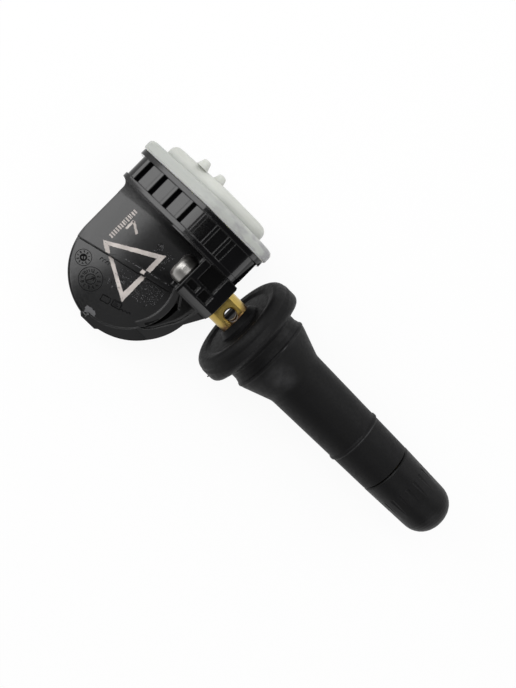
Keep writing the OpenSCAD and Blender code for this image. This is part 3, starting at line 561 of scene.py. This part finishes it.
@dataclass(frozen=True)
class Dial:
    """Moulded setting dial: rings, plain numbers round and an arrow.

    Attributes:
        centre: Middle, in millimetres.
        radius: Outer radius, in millimetres.
        count: How many numbers stand round it.
        first: The first number.
        pointer: Direction of the arrow, in degrees.
        filled: True where the middle is dark.
        hub: Radius of the inner ring, as a share of the outer one.
        foot: Where the numbers' feet stand, as a share of the outer radius.
        digit: Width of a digit, as a share of the outer radius.
        pitch: Distance of two digits, as a share of a digit's width.
        lines: Widths of the fine, plain and bold lines, in millimetres.
    """

    centre: Point2
    radius: float
    count: int
    first: int
    pointer: float
    filled: bool = False
    hub: float = 0.42
    foot: float = 0.58
    digit: float = 0.115
    pitch: float = 1.55
    lines: Point3 = (0.1, 0.13, 0.2)

    def lay(self, sheet: FaceSheet) -> None:
        """Lays the dial's lines on a sheet."""
        inner = self.hub * self.radius
        sheet.ring(self.centre, inner, self.lines[1])
        sheet.ring(self.centre, self.radius, self.lines[0])
        if self.filled:
            sheet.ring(self.centre, 0.72 * inner, 0.3 * inner)
        for i in range(self.count):
            self.number(sheet, str(self.first + i), math.pi / 2 - 2 * math.pi * i / self.count)
        self.arrow(sheet, 0.85 * inner)

    def number(self, sheet: FaceSheet, text: str, turn: float) -> None:
        """Lays one number with its foot towards the middle."""
        start, size = self.foot * self.radius, self.digit * self.radius
        out = Vector((math.cos(turn), math.sin(turn)))
        side = Vector((out.y, -out.x))
        width = self.pitch * len(text) - (self.pitch - 1.0)
        for place, digit in enumerate(text):
            for line in STROKES[digit]:
                points = []
                for x, y in line:
                    aside = (x + self.pitch * place - width / 2) * size
                    point = Vector(self.centre) + out * (start + y * size) + side * aside
                    points.append((point.x, point.y))
                sheet.stroke(points, self.lines[0])

    def arrow(self, sheet: FaceSheet, reach: float) -> None:
        """Lays the arrow."""
        turn = math.radians(self.pointer)
        way = Vector((math.cos(turn), math.sin(turn)))
        side = way.orthogonal()
        centre = Vector(self.centre)
        tip = centre + way * reach
        sheet.stroke([(centre - way * reach)[:], tip[:]], self.lines[2])
        for hand in (-1, 1):
            barb = centre + way * 0.35 * reach + side * hand * 0.5 * reach
            sheet.stroke([tip[:], barb[:]], self.lines[1])


@dataclass
class FaceMarks:
    """Marks on the housing's face: white triangle, numeral, dashes, dials and laser specks, with a painted shade line,
    a painted shadow and painted highlights.

    Attributes:
        white: Finish of the white marks.
        relief_and_painted_shade: Finish of the moulded lines, and of the painted shade line and painted shadow.
        pale: Finish of the pale laser specks, and of the painted highlights on the ridge and beside the foot.
        rough: Roughness of the white edges, in millimetres.
        triangle: Patches of the triangle, broken where it crosses the ridge and the step.
        numeral_line: Corners of the plain numeral.
        dials: The setting dials.
        step_shade_line: Ends of the painted shade line at the foot of the step.
        ridge_highlight_line: Ends of the painted highlight line on the ridge's top edge.
        foot_highlight_patch: Corners of the painted highlight patch beside the foot.
        laser_rows: Lowest and highest X and Y of each row of scribbles.
        speck_areas: Corners of each area of stray specks, and how many it has.
        speck_size: Least and greatest size of a speck.
        frame_tilt: Angle of the small frames and of the strokes beside them, in degrees.
        frame_boxes: Middle, width and height of each small frame.
        bar_start: Start of the lowest of the short bars.
        wave_start: Start of the wavy line.
        hook_start: Start of the first hook in the row of hooks.
        shadow_crescent_radius: Distance of the painted shadow from the pocket's middle.
        shadow_crescent_width: Width of the painted shadow.
    """

    white: Speckled = Speckled("burnt_white", (0.60, 0.55, 0.52), 0.75, grain=5000, edge=0.00001, specular=0.2,
                               speck=(0.36, 0.32, 0.30), cover=0.25)
    relief_and_painted_shade: Finish = Finish("moulded_line_and_painted_shade", (0.0016, 0.0016, 0.0018), 0.8, specular=0.15, edge=0.00001)
    pale: Finish = Finish("burnt_speck_and_painted_highlight", (0.13, 0.13, 0.135), 0.7, specular=0.25, edge=0.00001)
    rough: float = 0.05
    triangle: tuple[Quad, ...] = (
        ((-31.5, -6.15), (-30.2, -6.15), (-23.05, -2.1), (-22.17, -0.66)),
        ((-22.17, -0.66), (-23.05, -2.1), (-22.97, -4.75), (-22.14, -4.55)),
        ((-23.45, -4.86), (-22.72, -4.7), (-22.72, -5.56), (-23.45, -5.74)),
        ((-22.14, -5.7), (-22.93, -5.9), (-23.05, -10.15), (-22.05, -11.5)),
        ((-31.5, -6.15), (-30.2, -6.15), (-28.93, -7.02), (-29.86, -7.3)),
        ((-29.15, -7.42), (-28.2, -7.2), (-23.05, -10.15), (-22.05, -11.5)),
    )
    numeral_line: tuple[Point2, ...] = ((-30.1, -2.1), (-30.1, -0.3), (-28.2, -1.5))
    dials: tuple[Dial, ...] = (
        Dial((-31.8, -10.58), 1.38, 10, 0, 128.0, True), Dial((-28.43, -12.36), 2.05, 12, 1, 60.0)
    )
    step_shade_line: tuple[Point2, Point2] = ((-34.7, -8.78), (-17.7, -4.7))
    ridge_highlight_line: tuple[Point2, Point2] = ((-26.98, -5.87), (-17.95, -3.70))
    foot_highlight_patch: Quad = ((-25.9, -16.0), (-24.2, -15.7), (-23.3, -16.6), (-25.4, -17.0))
    laser_rows: tuple[tuple[float, float, float, float], ...] = (
        (-26.2, -23.4, -9.2, -8.2), (-26.6, -24.0, -10.9, -10.1), (-21.8, -18.6, -9.6, -6.4),
        (-24.6, -23.2, -1.6, 0.2), (-21.8, -20.9, -2.6, -0.4),
    )
    speck_areas: tuple[tuple[Quad, int], ...] = (
        (((-24.6, 0.3), (-20.8, 0.3), (-20.8, -3.0), (-24.6, -3.0)), 60),
        (((-22.0, -6.0), (-17.8, -4.9), (-17.8, -8.2), (-22.0, -9.9)), 210),
        (((-26.2, -7.0), (-23.2, -6.3), (-23.2, -9.9), (-26.2, -9.4)), 70),
    )
    speck_size: Point2 = (0.05, 0.15)
    frame_tilt: float = 16.0
    frame_boxes: tuple[tuple[Point2, float, float], ...] = (((-24.3, -13.05), 1.55, 1.05), ((-22.35, -12.4), 1.55, 1.1))
    bar_start: Point2 = (-22.8, -12.75)
    wave_start: Point2 = (-21.45, -12.75)
    hook_start: Point2 = (-29.65, -8.95)
    shadow_crescent_radius: float = 8.85
    shadow_crescent_width: float = 0.9

    def build(self) -> None:
        """Lays all marks on the face."""
        sheet = FaceSheet("housing", 11)
        for quad in self.triangle:
            sheet.patch(quad, self.rough)
        sheet.stroke(self.numeral_line, 0.42, self.rough)
        self.dashes(sheet)
        placed("white_marks", sheet.take(), self.white.build(), Body.SENSOR)
        for dial in self.dials:
            dial.lay(sheet)
        self.frames(sheet)
        # Painted shade: a thin dark line along the foot of the step, where shade falls.
        sheet.stroke(self.step_shade_line, 0.13, 0.02)
        # Painted shadow: a dull dark crescent in the deep corner outside the pocket's rim.
        self.shadow_crescent(sheet)
        self.scribbles(sheet, 60)
        # This sheet also holds the painted shade line at the step and the painted shadow outside the rim.
        placed("moulded_marks_and_painted_shade", sheet.take(), self.relief_and_painted_shade.build(), Body.SENSOR)
        for area, count in self.speck_areas:
            sheet.dots(area, count, self.speck_size)
        # Painted highlight: a pale line along the ridge's top edge.
        sheet.stroke(self.ridge_highlight_line, 0.1, 0.02)
        # Painted highlight: a pale patch beside the foot.
        sheet.patch(self.foot_highlight_patch, 0.12)
        self.scribbles(sheet, 45)
        # This sheet also holds the painted highlights on the ridge and beside the foot.
        placed("laser_specks_and_painted_highlights", sheet.take(), self.pale.build(), Body.SENSOR)

    def dashes(self, sheet: FaceSheet) -> None:
        """Lays a column of short plain dashes."""
        y = 1.0
        while y > -5.0:
            length = sheet.random.choice((0.34, 0.34, 0.2))
            sheet.stroke(((-31.4, y), (-30.6, y)), length * 0.8, self.rough * 0.6)
            y -= length + 0.16

    def frames(self, sheet: FaceSheet) -> None:
        """Lays the two small frames, the strokes beside them and the row of hooks."""
        tilt = math.radians(self.frame_tilt)
        way, up = Vector((math.cos(tilt), math.sin(tilt))), Vector((-math.sin(tilt), math.cos(tilt)))
        for centre, width, height in self.frame_boxes:
            middle = Vector(centre)
            corners = [(middle + way * (i * width / 2) + up * (j * height / 2))[:]
                       for i, j in ((-1, -1), (1, -1), (1, 1), (-1, 1), (-1, -1))]
            sheet.stroke(corners, 0.2, 0.05)
        for i in range(3):
            start = Vector(self.bar_start) + up * 0.28 * i
            sheet.stroke((start[:], (start + way * (0.9 - 0.2 * i))[:]), 0.14, 0.03)
        start = Vector(self.wave_start)
        points = [(start + way * 0.34 * i + up * (0.32 * (i % 2) + 0.03 * i))[:] for i in range(7)]
        sheet.stroke(points, 0.16, 0.04)
        for i in range(4):
            x, y = self.hook_start[0] + 0.52 * i, self.hook_start[1] + 0.1 * i
            sheet.stroke(((x, y), (x, y + 0.5), (x + 0.3, y + 0.55)), 0.12, 0.03)

    def scribbles(self, sheet: FaceSheet, count: int) -> None:
        """Lays rows of tiny uneven strokes where the laser ran."""
        for x0, x1, y0, y1 in self.laser_rows:
            for _ in range(count // len(self.laser_rows)):
                x, y = sheet.random.uniform(x0, x1), sheet.random.uniform(y0, y1)
                way = sheet.random.choice(((0.0, 0.3), (0.22, 0.06), (0.1, 0.2), (-0.12, 0.2)))
                sheet.stroke(((x, y), (x + way[0], y + way[1])), 0.08)

    def shadow_crescent(self, sheet: FaceSheet) -> None:
        """Lays painted shadow: a dull dark crescent in the corner outside the pocket's rim."""
        points = [around(POCKET_CENTRE, self.shadow_crescent_radius, math.radians(degrees)) for degrees in range(8, -37, -4)]
        sheet.stroke(points, self.shadow_crescent_width)


@dataclass
class Stem:
    """Rubber stem, valve tube and the core in it.

    Attributes:
        rubber: Finish of the stem, with painted highlights.
        brass: Finish of the tube.
        core: Finish of the core's turned pieces.
        seal: Finish of the cup's seal.
        red_seal: Finish of the barrel's seal.
        wire: Finish of the spring.
        pin_travel: How far the pin goes in, in metres; not used.
        nibs: X, Y and length of the nibs of flash, in millimetres.
    """

    # The spots are painted highlights on the stem, the thin line on the ring included.
    rubber: PaintedHighlightFinish = PaintedHighlightFinish("moulded_rubber", (0.0026, 0.0026, 0.0029), 0.55, grain=1600, grain_depth=0.00002,
                              edge=0.0001, specular=0.16, highlight_spots=(
                                  ((0.0221, 0.0010, 0.0049), (0.00016, 0.0045, 0.0040), 1.0),
                                  ((0.0048, -0.0015, 0.0063), (0.0030, 0.0028, 0.0030), 0.5),
                                  ((0.0004, 0.0045, 0.0060), (0.0026, 0.0022, 0.0030), 0.25),
                                  ((0.0016, 0.0023, 0.0072), (0.00014, 0.0010, 0.0020), 1.0),
                                  ((-0.0059, -0.0052, 0.0078), (0.00030, 0.0026, 0.0025), 1.0),
                                  ((-0.0060, 0.0078, 0.0055), (0.0012, 0.0016, 0.0030), 0.4),
                              ))
    brass: Stained = Stained("milled_brass", (0.49, 0.355, 0.10), 0.30, 1.0, grain=900, grain_depth=0.000006,
                             stretch=(1.0, 6.0, 6.0), stain=(0.10, 0.045, 0.03), start=-0.0066, end=-0.0079,
                             covered=0.01)
    core: Finish = Finish("turned_brass", (0.62, 0.49, 0.24), 0.26, 1.0, grain=1500, grain_depth=0.000004,
                          stretch=(6.0, 1.0, 1.0))
    seal: Finish = Finish("seal_rubber", (0.03, 0.03, 0.03), 0.6)
    red_seal: Finish = Finish("red_seal", (0.35, 0.03, 0.02), 0.5)
    wire: Finish = Finish("spring_wire", (0.6, 0.6, 0.6), 0.3, 1.0)
    pin_travel: float = 0.00137
    nibs: tuple[Point3, ...] = ((-3.0, -9.6, 0.62), (-3.1, 9.6, 0.35))

    def build(self) -> None:
        """Dresses the stem, the tube and the core, and adds the rubber's flash."""
        rubber = self.rubber.build()
        dressed("rubber_stem", rubber)
        self.flash(rubber)
        dressed("valve_tube", self.brass.build())
        turned = self.core.build()
        for node in ("core_plug", "core_barrel", "core_pin", "core_cup"):
            dressed(node, turned)
        self.spring(self.wire.build())
        dressed("core_barrel_seal", self.red_seal.build())
        dressed("core_cup_seal", self.seal.build())

    def spring(self, wire: bpy.types.Material) -> None:
        """Adds the shown spring, a copy of the packed one that rides on the sensor."""
        packed = dressed("core_spring", wire)
        shown = stand_in(packed, packed.data.copy())
        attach(shown, Body.SENSOR.value)
        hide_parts("core_spring")
        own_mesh(shown)

    def flash(self, rubber: bpy.types.Material) -> None:
        """Adds the small nibs of rubber left at the mould's parting line."""
        shape = bmesh.new()
        for x, y, reach in self.nibs:
            side = -1.0 if y < 0 else 1.0
            away = Matrix.Rotation(math.radians(-90.0 * side), 4, "X")
            turn = Matrix.Rotation(math.radians(18.0 * side), 4, "Z")
            at = Matrix.Translation((x * MM, y * MM, -0.2 * MM))
            bmesh.ops.create_cone(shape, cap_ends=True, segments=10, radius1=0.3 * MM, radius2=0.08 * MM,
                                  depth=2 * reach * MM, matrix=at @ turn @ away)
        placed("rubber_flash", shape, rubber, Body.SENSOR)


@dataclass
class DustCap:
    """Dust cap with its seal.

    Attributes:
        plastic: Finish of the cap.
        seal: Finish of the seal disc.
    """

    plastic: Finish = Finish("cap_plastic", (0.0026, 0.0026, 0.0029), 0.45, grain=2200, grain_depth=0.000012,
                             specular=0.17)
    seal: Finish = Finish("cap_seal_rubber", (0.05, 0.05, 0.052), 0.6)

    def build(self) -> None:
        """Dresses the cap and its seal disc."""
        dressed("dust_cap", self.plastic.build())
        dressed("cap_seal", self.seal.build())


@dataclass
class HousingShell:
    """The housing as it is shown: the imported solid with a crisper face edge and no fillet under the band.

    All sizes are in millimetres.

    Attributes:
        radius: Outer radius of the pocket.
        right: Where the edge plates end on the right.
        top: Underside of the band.
        face: Level of the upper face.
        low_face: Level of the lower face.
        floor: Level that the plates reach down to, inside the wall.
        step_start: Right end of the step between the faces.
        step_angle: Angle of the step, in degrees.
        edge: Rounding of the face's edge.
        near: Points nearer to the wall than this lie on it.
        wall_steps: How many steps the round bottom has.
        fillet_low: Lowest corner of the space over the face that is cleared.
        fillet_high: Its highest corner.
    """

    radius: float = 11.5
    right: float = -25.6
    top: float = 3.6
    face: float = -3.0
    low_face: float = -3.7
    floor: float = -4.85
    step_start: Point2 = (-17.46, -4.45)
    step_angle: float = 13.5
    edge: float = 0.35
    near: float = 0.01
    wall_steps: int = 40
    fillet_low: Point3 = (-38.0, 1.0, -2.9995)
    fillet_high: Point3 = (-17.47, 3.799, 6.0)

    def build(self, housing: bpy.types.Object) -> None:
        """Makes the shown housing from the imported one.

        Args:
            housing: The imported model's housing, already dressed.
        """
        shown = stand_in(housing, self.welded(housing.data))
        outline = self.outline()
        self.cut(shown, self.plate(outline, self.low_face), "UNION")
        self.cut(shown, self.plate(self.above_step(outline), self.face), "UNION")
        self.cut(shown, self.clearance(), "DIFFERENCE")
        shown.data.shade_smooth()
        shown.data.set_sharp_from_angle(angle=math.radians(SMOOTH_ANGLE))
        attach(shown, Body.SENSOR.value)
        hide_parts("housing")
        LOG.info("%s: %d faces", shown.name, len(shown.data.polygons))

    def welded(self, packed: bpy.types.Mesh) -> bpy.types.Mesh:
        """Closed copy of a mesh, without doubled vertices or stored normals."""
        shape = bmesh.new()
        shape.from_mesh(packed)
        bmesh.ops.remove_doubles(shape, verts=shape.verts[:], dist=WELD)
        shape.verts.index_update()
        loose = sum(not edge.is_manifold for edge in shape.edges)
        LOG.info("housing: %d edges that are not closed", loose)
        mesh = bpy.data.meshes.new("housing_shown")
        faces = [[vertex.index for vertex in face.verts] for face in shape.faces]
        mesh.from_pydata([vertex.co for vertex in shape.verts], [], faces)
        mesh.materials.append(packed.materials[0])
        shape.free()
        return mesh

    def outline(self) -> list[Vector]:
        """Outline of the plates: the band's underside, the left wall and the round bottom."""
        end = math.acos((self.right - POCKET_CENTRE[0]) / self.radius)
        points = [Vector((self.right, self.top)), Vector((POCKET_CENTRE[0] - self.radius, self.top))]
        for i in range(self.wall_steps + 1):
            turn = math.pi + (math.pi - end) * i / self.wall_steps
            points.append(Vector(around(POCKET_CENTRE, self.radius, turn)))
        return points

    def above_step(self, outline: Sequence[Vector]) -> list[Vector]:
        """Part of an outline that lies above the step between the faces."""
        slope = math.tan(math.radians(self.step_angle))

        def height(point: Vector) -> float:
            """Height of a point over the step line."""
            return point.y - self.step_start[1] - slope * (point.x - self.step_start[0])

        kept = []
        for a, b in zip(outline, [*outline[1:], outline[0]]):
            if height(a) >= 0:
                kept.append(a)
            if height(a) * height(b) < 0:
                kept.append(a.lerp(b, height(a) / (height(a) - height(b))))
        return kept

    def plate(self, outline: Sequence[Vector], level: float) -> bmesh.types.BMesh:
        """Plate of an outline up to a level, with its outer top edge rounded."""
        shape = bmesh.new()
        base = [shape.verts.new((point.x, point.y, self.floor)) for point in outline]
        face = shape.faces.new(base)
        grown = bmesh.ops.extrude_face_region(shape, geom=[face])["geom"]
        tops = [item for item in grown if isinstance(item, bmesh.types.BMVert)]
        for vertex in tops:
            vertex.co.z = level
        bmesh.ops.recalc_face_normals(shape, faces=shape.faces[:])
        rim = [edge for edge in shape.edges if all(vertex in tops for vertex in edge.verts)
               and all(self.on_wall(vertex.co) for vertex in edge.verts)]
        bmesh.ops.bevel(shape, geom=rim, offset=self.edge, segments=3, profile=0.5, affect="EDGES")
        return shape

    def on_wall(self, point: Vector) -> bool:
        """True if a point lies on the left wall or the round bottom."""
        away = math.hypot(point.x - POCKET_CENTRE[0], point.y - POCKET_CENTRE[1])
        left = POCKET_CENTRE[0] - self.radius
        on_left = abs(point.x - left) < self.near and point.y > POCKET_CENTRE[1]
        return abs(away - self.radius) < self.near or on_left

    def clearance(self) -> bmesh.types.BMesh:
        """Box over the face, up to the band."""
        low, high = Vector(self.fillet_low), Vector(self.fillet_high)
        shape = bmesh.new()
        sized = Matrix.Diagonal((*(high - low), 1.0))
        bmesh.ops.create_cube(shape, size=1.0, matrix=Matrix.Translation((low + high) / 2) @ sized)
        return shape

    def cut(self, shown: bpy.types.Object, shape: bmesh.types.BMesh, operation: str) -> None:
        """Joins a shape to an object's mesh, or cuts it out.

        Args:
            shown: The object whose mesh changes.
            shape: The shape, freed here.
            operation: Name of the operation.
        """
        bmesh.ops.scale(shape, vec=(MM, MM, MM), verts=shape.verts[:])
        bmesh.ops.transform(shape, matrix=shown.matrix_world.inverted(), verts=shape.verts[:])
        mesh = bpy.data.meshes.new("tool")
        shape.to_mesh(mesh)
        shape.free()
        mesh.materials.append(shown.data.materials[0])
        tool = linked("tool", mesh)
        tool.matrix_world = shown.matrix_world.copy()
        change = shown.modifiers.new("change", "BOOLEAN")
        change.operation, change.solver, change.object = operation, "MANIFOLD", tool
        bpy.context.view_layer.update()
        made = bpy.data.meshes.new_from_object(shown.evaluated_get(bpy.context.evaluated_depsgraph_get()))
        shown.modifiers.clear()
        shown.data = made
        bpy.data.objects.remove(tool)


@dataclass
class Housing:
    """Ribbed housing, lid and screw.

    Attributes:
        plastic: Finish of the housing.
        milky: Finish of the lid.
        steel: Finish of the screw.
    """

    plastic: Finish = Finish("filled_plastic", (0.0018, 0.0018, 0.0022), 0.1, grain=2600, grain_depth=0.0000015,
                             variation=0.2, edge=0.0002)
    milky: MilkyPlastic = MilkyPlastic("milky_plastic", (0.56, 0.57, 0.535), 0.42, grain=1500, grain_depth=0.000006,
                                       variation=0.05, edge=0.00015)
    steel: Finish = Finish("plated_steel", (0.38, 0.37, 0.355), 0.35, 1.0, grain=2500, grain_depth=0.000006)

    def build(self) -> None:
        """Dresses the housing, the lid and the screw."""
        HousingShell().build(dressed("housing", self.plastic.build()))
        dressed("lid", self.milky.build())
        dressed("retaining_screw", self.steel.build(), 60.0)


@dataclass
class Module:
    """Board, cell and the small parts inside.

    Attributes:
        finishes: Finish and nodes of each kind of small part.
    """

    finishes: tuple[tuple[Finish, tuple[str, ...]], ...] = (
        (Finish("solder_mask", (0.01, 0.09, 0.04), 0.35), ("circuit_board",)),
        (Finish("plated_can", (0.62, 0.62, 0.60), 0.28, 1.0),
         ("coin_cell", "cell_tab_positive", "cell_tab_negative", "crystal")),
        (Finish("chip_package", (0.02, 0.02, 0.022), 0.5), ("pressure_chip", "transmitter_chip")),
        (Finish("port_rubber", (0.03, 0.03, 0.032), 0.6), ("port_seal",)),
        (Finish("porous_film", (0.8, 0.8, 0.78), 0.8), ("port_filter",)),
        (Finish("sintered_ferrite", (0.03, 0.03, 0.033), 0.55), ("wake_coil_core",)),
        (Finish("enamelled_wire", (0.55, 0.2, 0.07), 0.3, 1.0, stretch=(12.0, 1.0, 1.0)), ("wake_coil_winding",)),
        (Finish("antenna_strip", (0.7, 0.55, 0.25), 0.3, 1.0), ("loop_antenna",)),
        (Finish("ceramic_chip", (0.4, 0.28, 0.16), 0.5), ("capacitors",)),
    )

    def build(self) -> None:
        """Dresses the board, the cell and the small parts."""
        for finish, nodes in self.finishes:
            material = finish.build()
            for node in nodes:
                dressed(node, material)


@dataclass(frozen=True)
class SoftBox:
    """A rectangular lamp.

    Attributes:
        name: Name of the lamp.
        place: Its middle, in metres.
        size: Its two sides, in metres.
        watts: Its power.
        aim: The point that it faces, or None for straight down.
    """

    name: str
    place: Point3
    size: tuple[float, float]
    watts: float
    aim: Point3 | None = (-0.01, 0.0, 0.0)

    def build(self) -> None:
        """Adds the lamp to the scene."""
        data = bpy.data.lights.new(self.name, "AREA")
        data.shape = "RECTANGLE"
        data.size, data.size_y = self.size
        data.energy = self.watts
        lamp = linked(self.name, data)
        lamp.location = self.place
        if self.aim is not None:
            lamp.rotation_euler = (Vector(self.aim) - Vector(self.place)).to_track_quat("-Z", "Y").to_euler()


@dataclass
class Studio:
    """Floor, world, lamps and the photograph's camera.

    Attributes:
        eye: Place of the camera.
        target: Point at the middle of the view.
        right: Direction that points right in the picture.
        lens: Focal length, in millimetres on a 36 mm long side.
        sky: Brightness of the sky at some heights, from the horizon at 0 to straight up at 1.
        low_shade: Share by which the sky is darker on the side of -Y.
        low_side: Where along -Y that side begins and where it is whole, as parts of a direction.
        low_height: Where the darker side begins over the horizon and where it is whole.
        floor_white: Share of pure white in what the camera sees of the floor; the rest takes the shadow.
        floor_half: Half the floor's side, in metres.
        floor_gap: Gap between the floor and the object, in metres.
        boxes: The lamps.
    """

    eye: Point3 = (-0.022, 0.001, 0.145)
    target: Point3 = (-0.001, -0.00025, 0.0)
    right: Point3 = (0.713, 0.701, 0.0)
    lens: float = 45.5
    sky: tuple[Point2, ...] = ((0.0, 0.95), (0.5, 0.70), (0.77, 0.42), (0.93, 0.13), (1.0, 0.07))
    low_shade: float = 0.35
    low_side: Point2 = (-0.15, -0.55)
    low_height: Point2 = (0.02, 0.2)
    floor_white: float = 0.92
    floor_half: float = 1.5
    floor_gap: float = 0.00002
    boxes: tuple[SoftBox, ...] = (
        SoftBox("key", (-0.1745, -0.0175, 0.35), (0.263, 0.045), 0.134, None),
        SoftBox("low", (-0.136, -0.065, 0.35), (0.17, 0.050), 0.085, None),
        SoftBox("dim", (-0.016, -0.100, 0.35), (0.044, 0.16), 0.0095, None),
        SoftBox("over", (-0.175, 0.110, 0.35), (0.26, 0.11), 0.36, None),
        SoftBox("left", (-0.38, -0.01, 0.20), (0.26, 0.30), 0.68),
        SoftBox("upper", (0.06, 0.34, 0.26), (0.30, 0.30), 0.45),
        SoftBox("right", (0.32, -0.05, 0.28), (0.30, 0.30), 0.40),
    )

    def build(self) -> None:
        """Sets up the camera, the lamps, the world and the floor."""
        self.camera()
        self.floor()
        self.world()
        for box in self.boxes:
            box.build()
        bpy.context.scene.view_settings.view_transform = "Standard"

    def camera(self) -> None:
        """Creates the camera at the photograph's viewing angle."""
        eye, target, right = Vector(self.eye), Vector(self.target), Vector(self.right)
        back = (eye - target).normalized()
        right = (right - right.dot(back) * back).normalized()
        up = back.cross(right)
        data = bpy.data.cameras.new("camera")
        data.lens = self.lens
        data.sensor_width = 36.0
        data.clip_start = 0.005
        camera = linked("camera", data)
        camera.matrix_world = Matrix.Translation(eye) @ Matrix((right, up, back)).transposed().to_4x4()
        bpy.context.scene.camera = camera

    def floor(self) -> None:
        """Adds a floor that the camera and all mirrors see as pure white, and that lights from below."""
        mesh = bpy.data.meshes.new("floor")
        half = self.floor_half
        level = CAD_BOX[0][2] - self.floor_gap
        corners = [(-half, -half, level), (half, -half, level), (half, half, level), (-half, half, level)]
        mesh.from_pydata(corners, [], [(0, 1, 2, 3)])
        floor = linked("floor", mesh)
        material = bpy.data.materials.new("white_floor")
        nodes = NodeTree(material)
        path = nodes.add("ShaderNodeLightPath")
        diffuse = nodes.add("ShaderNodeBsdfDiffuse", {"Color": (0.85, 0.85, 0.85, 1.0)})
        white = nodes.add("ShaderNodeEmission", {"Color": (1.0, 1.0, 1.0, 1.0), "Strength": 1.0})
        seen = nodes.math("MAXIMUM", path.outputs["Is Glossy Ray"], path.outputs["Is Transmission Ray"])
        seen = nodes.math("MAXIMUM", seen, nodes.math("MULTIPLY", path.outputs["Is Camera Ray"], self.floor_white))
        blend = nodes.add("ShaderNodeMixShader", {0: seen, 1: diffuse.outputs[0], 2: white.outputs[0]})
        nodes.finish(blend)
        mesh.materials.append(material)

    def world(self) -> None:
        """Lights the scene with a sky that is bright at the horizon and dim overhead."""
        world = bpy.data.worlds.new("sky")
        bpy.context.scene.world = world
        nodes = NodeTree(world)
        path = nodes.add("ShaderNodeLightPath")
        way = nodes.add("ShaderNodeTexCoord").outputs["Generated"]
        _, front, height = nodes.add("ShaderNodeSeparateXYZ", {0: way}).outputs
        level = nodes.math("ABSOLUTE", height)
        strength: object = self.sky[0][1]
        for (low, start), (high, end) in zip(self.sky, self.sky[1:]):
            strength = nodes.math("ADD", strength, nodes.ramp(level, low, high, 0.0, end - start))
        low_side = nodes.math("MULTIPLY", nodes.ramp(front, *self.low_side), nodes.ramp(height, *self.low_height))
        kept = nodes.math("SUBTRACT", 1.0, nodes.math("MULTIPLY", low_side, self.low_shade))
        strength = nodes.math("MULTIPLY", strength, kept)
        seen = nodes.add("ShaderNodeMix", {0: path.outputs["Is Camera Ray"], 2: strength, 3: 1.0}).outputs[0]
        sky = nodes.add("ShaderNodeBackground", {"Color": (1.0, 1.0, 1.0, 1.0), "Strength": seen})
        nodes.finish(sky, "ShaderNodeOutputWorld")


def main() -> None:
    """Builds the object's looks and the studio."""
    logging.basicConfig(level=logging.INFO, format="%(message)s")
    for assembly in (Stem(), DustCap(), Housing(), FaceMarks(), Module(), Studio()):
        assembly.build()
        LOG.info("%s is built", type(assembly).__name__)


if __name__ == "__main__":
    main()
